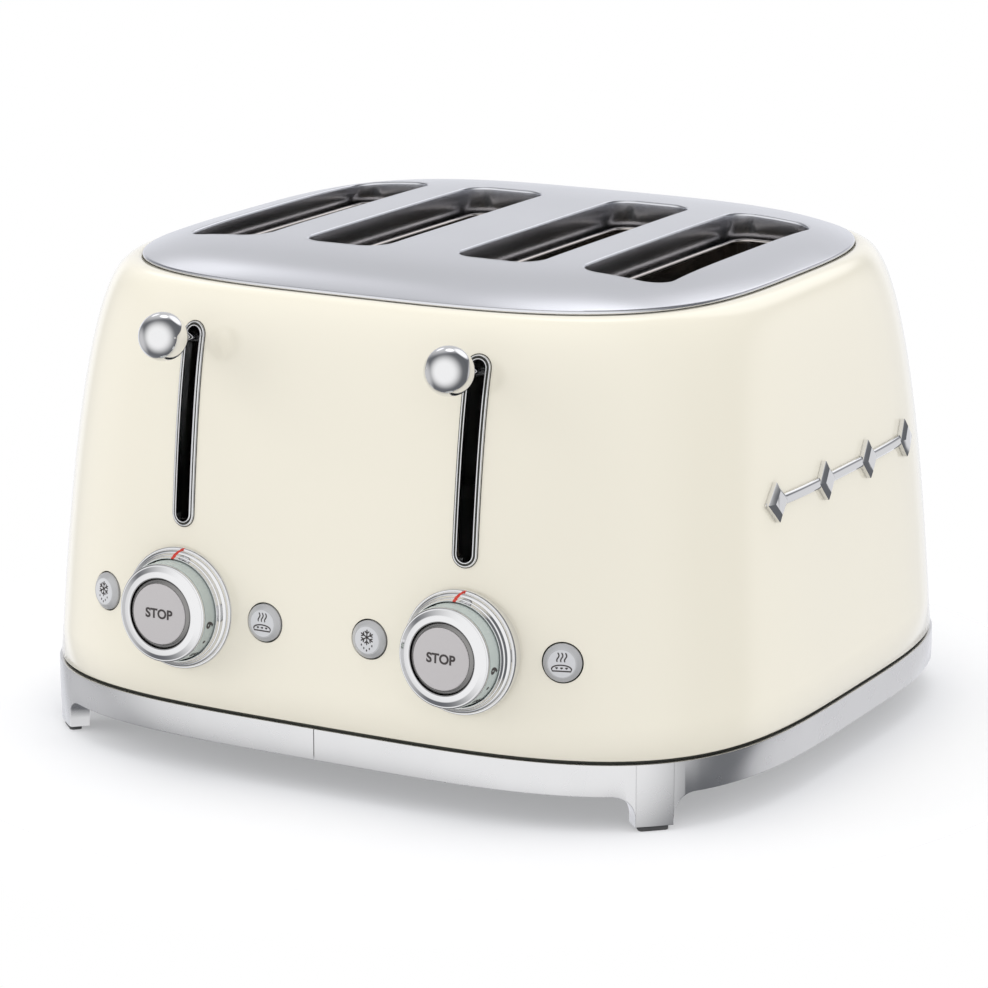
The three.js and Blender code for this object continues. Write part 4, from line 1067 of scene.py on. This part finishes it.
def text_mesh(words, size, depth, bolder):
    """Thin solid letters, centred at the origin."""
    curve = bpy.data.curves.new("words", "FONT")
    curve.body, curve.size, curve.extrude, curve.offset = words, size, depth, bolder
    curve.align_x, curve.align_y = "CENTER", "CENTER"
    curve.resolution_u = 6
    holder = bpy.data.objects.new("words", curve)
    bpy.context.scene.collection.objects.link(holder)
    mesh = bpy.data.meshes.new_from_object(holder.evaluated_get(bpy.context.evaluated_depsgraph_get()))
    bm = bmesh.new()
    bm.from_mesh(mesh)
    bpy.data.objects.remove(holder)
    bpy.data.curves.remove(curve)
    bpy.data.meshes.remove(mesh)
    bmesh.ops.remove_doubles(bm, verts=bm.verts, dist=1e-7)
    return bm


def strokes_bm(strokes, half_stroke, height):
    """Thin rounded strokes in the XY plane, each a list of (x, y)."""
    whole = bmesh.new()
    for stroke in strokes:
        points = [Vector((x, y, 0)) for x, y in stroke]
        stations = []
        for k, point in enumerate(points):
            ahead = (points[min(k + 1, len(points) - 1)] - points[max(k - 1, 0)]).normalized()
            across = Vector((-ahead.y, ahead.x, 0))
            first, last = [(-1, 0.35)] * (k == 0), [(1, 0.35)] * (k == len(points) - 1)
            for push, narrow in first + [(0, 1)] + last:
                centre = point + push * half_stroke * 0.7 * ahead
                stations.append([centre + a * narrow * half_stroke * across + Vector((0, 0, b * height))
                                 for a, b in ((-1, 0), (1, 0), (0.8, 1), (-0.8, 1))])
        add_bm(whole, sweep(stations))
    return whole


# %% Stop words and band numerals
first_numeral, numeral_step = math.radians(98), math.radians(44)
numeral_z, dot_radius = 9.8 * mm, 0.7 * mm
band_radius, band_taper, mark_lift = 20.4 * mm, 0.036, 0.14 * mm
stop_face_z = 16.1 * mm
for side, place in dial_places.items():
    words = text_mesh("STOP", size=5.3 * mm, depth=0.04 * mm, bolder=0.16 * mm)
    bmesh.ops.translate(words, vec=(0, 0, stop_face_z), verts=words.verts)
    bmesh.ops.transform(words, matrix=place, verts=words.verts)
    piece(f"stop_word_{side}", words, ink, body="stop_" + side)
    marks = bmesh.new()
    for number in range(1, 7):
        digit = text_mesh(str(number), size=6.0 * mm, depth=0.06 * mm, bolder=0.2 * mm)
        around = first_numeral + (6 - number) * numeral_step
        for vertex in digit.verts:
            angle = math.pi / 2 - around - vertex.co.x / band_radius
            radius = band_radius + mark_lift + vertex.co.z - (numeral_z - vertex.co.y) * band_taper
            vertex.co = Vector((radius * math.cos(angle), radius * math.sin(angle), numeral_z - vertex.co.y))
        add_bm(marks, digit)
        dot = bmesh.new()
        bmesh.ops.create_cone(dot, cap_ends=True, segments=20, radius1=dot_radius, radius2=dot_radius,
                              depth=0.12 * mm)
        turn = Matrix.Rotation(math.pi / 2 - around - numeral_step / 2, 4, "Z")
        out = Matrix.Translation((band_radius + mark_lift - numeral_z * band_taper, 0, numeral_z))
        bmesh.ops.transform(dot, matrix=turn @ out @ Matrix.Rotation(math.pi / 2, 4, "Y"), verts=dot.verts)
        add_bm(marks, dot)
    bmesh.ops.transform(marks, matrix=place, verts=marks.verts)
    piece(f"band_marks_{side}", marks, ink, body="dial_" + side)

# %% Red index on the bezel
index_profile = [(20.9, 6.75), (21.3, 6.72), (21.75, 5.55), (22.2, 5.3), (22.65, 4.15), (23.15, 3.85),
                 (23.75, 3.4), (23.95, 2.2), (24.4, 2.15), (24.8, 1.75)]
index_half, lean_from, lean_share = 0.8 * mm, 22.6 * mm, 0.9
for side, place in dial_places.items():
    stations = []
    for radius, height in index_profile:
        radius, height = radius * mm, height * mm
        lean = max(radius - lean_from, 0) * lean_share
        stations.append([Vector((lean + a * index_half, math.sqrt(radius ** 2 - lean ** 2), height + b * mm))
                         for a, b in ((-1, -0.05), (1, -0.05), (0.8, 0.08), (-0.8, 0.08))])
    index = sweep(stations)
    bmesh.ops.transform(index, matrix=place, verts=index.verts)
    piece(f"index_{side}", index, red_ink)

# %% [markdown]
# ## Defrost and reheat buttons
# Small truncated cones with a flat face, turned like the dials. Each face has a simple line
# icon, laid out as a few strokes: a snowflake with drops for defrost, and steam over a bread
# roll for reheat.

# %% Buttons and icons
button_profile = rounded_mm([
    (0, -8), (5.5, -8), (5.5, -2), (7.6, -2), (7.6, 0.4, 0.25), (5.9, 1.85, 0.3), (5.6, 2.0, 0.15),
    (5.45, 1.9, 0.08), (0, 1.9)], closed=False)
face_profile = rounded_mm([(0, 1.2), (5.4, 1.2), (5.4, 1.98, 0.15), (0, 2.02)], closed=False)
icon_scale, icon_z = 1.25, 2.0 * mm


def polar(radius, degrees, centre):
    """The point at a radius and clock angle from a centre."""
    angle = math.radians(degrees)
    return (centre[0] + radius * math.sin(angle), centre[1] + radius * math.cos(angle))


def snowflake():
    """Six forked arms over five drops."""
    centre = (0, 0.9 * mm)
    strokes = []
    for arm in range(6):
        strokes.append([centre, polar(2.35 * mm, 60 * arm, centre)])
        fork = polar(1.25 * mm, 60 * arm, centre)
        for turn in (-50, 50):
            strokes.append([fork, polar(0.95 * mm, 60 * arm + turn, fork)])
    for x, y in ((-1.9, -1.75), (-1.0, -2.75), (0, -3.4), (1.0, -2.75), (1.9, -1.75)):
        strokes.append([(x * mm, (y + 0.28) * mm), (x * mm, (y - 0.12) * mm)])
    return strokes


def steam_and_bun():
    """Three wisps of steam over a bun with three small marks."""
    strokes = []
    for x in (-1.2, 0, 1.2):
        strokes.append([((x + 0.34 * math.sin(k * math.pi / 4)) * mm, (3.3 - 0.38 * k) * mm)
                        for k in range(8)])
    bun = [(3.1 * math.cos(math.pi * k / 12), -1.7 + 1.25 * math.sin(math.pi * k / 12)) for k in range(13)]
    bun += [(-2.9, -2.35), (2.9, -2.35), (3.1, -1.7)]
    strokes.append([(x * mm, y * mm) for x, y in bun])
    for x in (-1.55, 0, 1.55):
        strokes.append([((x - 0.3) * mm, -1.35 * mm), ((x + 0.3) * mm, -1.35 * mm)])
        strokes.append([(x * mm, -1.3 * mm), (x * mm, -1.6 * mm)])
    return strokes


icons = {"defrost": snowflake, "reheat": steam_and_bun}
for (kind, side), place in button_places.items():
    body = f"{kind}_{side}"
    piece(f"{kind}_key_{side}", turned(button_profile, place, 64, closed=False), silver_plastic,
          body=body, replaced=[f"{kind}_button_{side}"])
    piece(f"{kind}_face_{side}", turned(face_profile, place, 64, closed=False), face_grey,
          body=body)
    art = strokes_bm(icons[kind](), half_stroke=0.22 * mm, height=0.06 * mm)
    bmesh.ops.scale(art, vec=(icon_scale, icon_scale, 1), verts=art.verts)
    bmesh.ops.translate(art, vec=(0, 0, icon_z), verts=art.verts)
    bmesh.ops.transform(art, matrix=place, verts=art.verts)
    piece(f"{kind}_icon_{side}", art, ink, body=body)

# %% [markdown]
# ## Side ornament
# A slim chrome bar with four faceted lozenges sits on the right-hand side. Flat castings
# would leave gaps on the curved wall, so each shape is swept outwards from the wall in a few
# rings and its back follows the side exactly.

# %% Ornament
trim_z, trim_pitch, trim_middle = 119 * mm, 41.4 * mm, middle_y - 1.0 * mm


def side_point(y, z, lift):
    """A point on the right-hand side, lifted off it."""
    def reach(y, z):
        a, b, squareness = outline(z)
        return a * (1 - abs((y - middle_y) / b) ** squareness) ** (1 / squareness)
    step = 0.5 * mm
    slope_y = (reach(y + step, z) - reach(y - step, z)) / (2 * step)
    slope_z = (reach(y, z + step) - reach(y, z - step)) / (2 * step)
    return Vector((reach(y, z), y, z)) + lift * Vector((1, -slope_y, -slope_z)).normalized()


bar_half_length, bar_half_height = 1.5 * trim_pitch + 7 * mm, 2.2 * mm
bar_profile = rounded_mm([(-2.2, 0.1), (-2.2, 1.2, 0.8), (-0.9, 2.0, 0.6), (0.9, 2.0, 0.6), (2.2, 1.2, 0.8),
                          (2.2, 0.1)])
stations = []
for k in range(61):
    along = -1 + 2 * k / 60
    y = trim_middle + bar_half_length * along
    past = max(abs(along) * bar_half_length - (bar_half_length - bar_half_height), 0)
    end = math.sqrt(max(1 - past ** 2 / bar_half_height ** 2, 0.02))
    stations.append([side_point(y, trim_z + d * end, lift * min(1, end + 0.4)) for d, lift in bar_profile])
ornament = sweep(stations)
lozenge = [(7, 0), (3.5, 4), (0, 8), (-3.5, 4), (-7, 0), (-3.5, -4), (0, -8), (3.5, -4)]
for place in (-1.5, -0.5, 0.5, 1.5):
    centre_y = trim_middle + place * trim_pitch
    rings = []
    for scale, lift in ((1, 0.1), (1, 1.9), (0.98, 2.1), (0.94, 2.3), (0.62, 3.3), (0.56, 3.4)):
        rings.append([side_point(centre_y + scale * y * mm, trim_z + scale * z * mm, lift * mm)
                      for y, z in lozenge])
    add_bm(ornament, sweep(rings))
piece("side_ornament", ornament, chrome, replaced=["side_trim"], sharp=18)

# %% [markdown]
# ## The works inside
# The lift springs are single coils drawn between the ends of their CAD boxes; they ride on
# no body, so they do not stretch as the levers go down. The heaters are mica boards wound with
# flat resistance ribbon, drawn as one long zigzag path.

# %% Lift springs
for side in sides:
    low, high = box("lift_spring_" + side)
    centre = (low + high) / 2
    turns, per_turn, coil, thick = 8, 20, (high.x - low.x) / 2 - 0.5 * mm, 0.45 * mm
    up = Vector((0, 0, 1))
    stations = []
    for k in range(turns * per_turn + 1):
        angle = 2 * math.pi * k / per_turn
        z = low.z + thick + (high.z - low.z - 2 * thick) * k / (turns * per_turn)
        out = Vector((math.cos(angle), math.sin(angle), 0))
        middle = Vector((centre.x, centre.y, z)) + coil * out
        stations.append([middle + thick * (math.cos(math.pi * j / 4) * out + math.sin(math.pi * j / 4) * up)
                         for j in range(8)])
    spring = piece(f"spring_{side}", sweep(stations), wire_steel, body=None,
                   replaced=["lift_spring_" + side])
    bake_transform(spring)

# %% Heater ribbons
for number in range(1, 7):
    low, high = box(f"heater_board_{number}")
    off = (high.x - low.x) / 2 + 0.18 * mm
    middle_x, passes = (low.x + high.x) / 2, 26
    stations = []
    for k in range(passes):
        face = 1 if k % 2 else -1
        z = high.z - 8 * mm - (high.z - low.z - 16 * mm) * k / (passes - 1)
        for reach in ((-1, 1) if k % 2 else (1, -1)):
            y = (low.y + high.y) / 2 + reach * ((high.y - low.y) / 2 - 1 * mm)
            stations.append([Vector((middle_x + face * off + a * 0.1 * mm, y, z + b * 0.7 * mm))
                             for a, b in ((-1, -1), (1, -1), (1, 1), (-1, 1))])
    piece(f"ribbon_{number}", sweep(stations), heater_wire)

# %% Cord gland
low, high = box("cord_gland")
gland_place = Matrix.Translation(((low.x + high.x) / 2, high.y, (low.z + high.z) / 2))
gland_place = gland_place @ Matrix.Rotation(-math.pi / 2, 4, "X")
gland_profile = rounded_mm([
    (3.1, -10.4), (4.1, -10.4, 0.3), (4.1, -1.2), (5.8, -1.2), (5.8, -0.5, 0.4), (5.0, 0, 0.4),
    (4.4, 0, 0.2), (4.2, -0.3, 0.2), (3.1, -0.3, 0.3)])
piece("gland", turned(gland_profile, gland_place, 48), rubber, replaced=["cord_gland"])

# %% [markdown]
# ## Finishes for the CAD parts that stay
# Flat sheet parts are right as they are, so they only need real finishes. The start of each
# node's name says what it is, and that picks one of the materials above.

# %% Dress the kept nodes
by_name = {"foot_pad": rubber, "crumb_tray": aluminium, "bottom_cover": sheet_steel,
           "front_end_plate": sheet_steel, "rear_end_plate": sheet_steel, "heat_shield": sheet_steel,
           "terminal_block": ceramic, "carriage": sheet_steel, "guide_rod": wire_steel,
           "bread_rack": wire_steel, "bread_cage": wire_steel, "heater_board": mica,
           "control_board": circuit, "electromagnet": copper_coil}
dressed = 0
for name, node in frame["nodes"].items():
    for start, material in by_name.items():
        if name.startswith(start):
            node.data.materials.clear()
            node.data.materials.append(material)
            dressed += 1
print("kept CAD nodes dressed:", dressed)

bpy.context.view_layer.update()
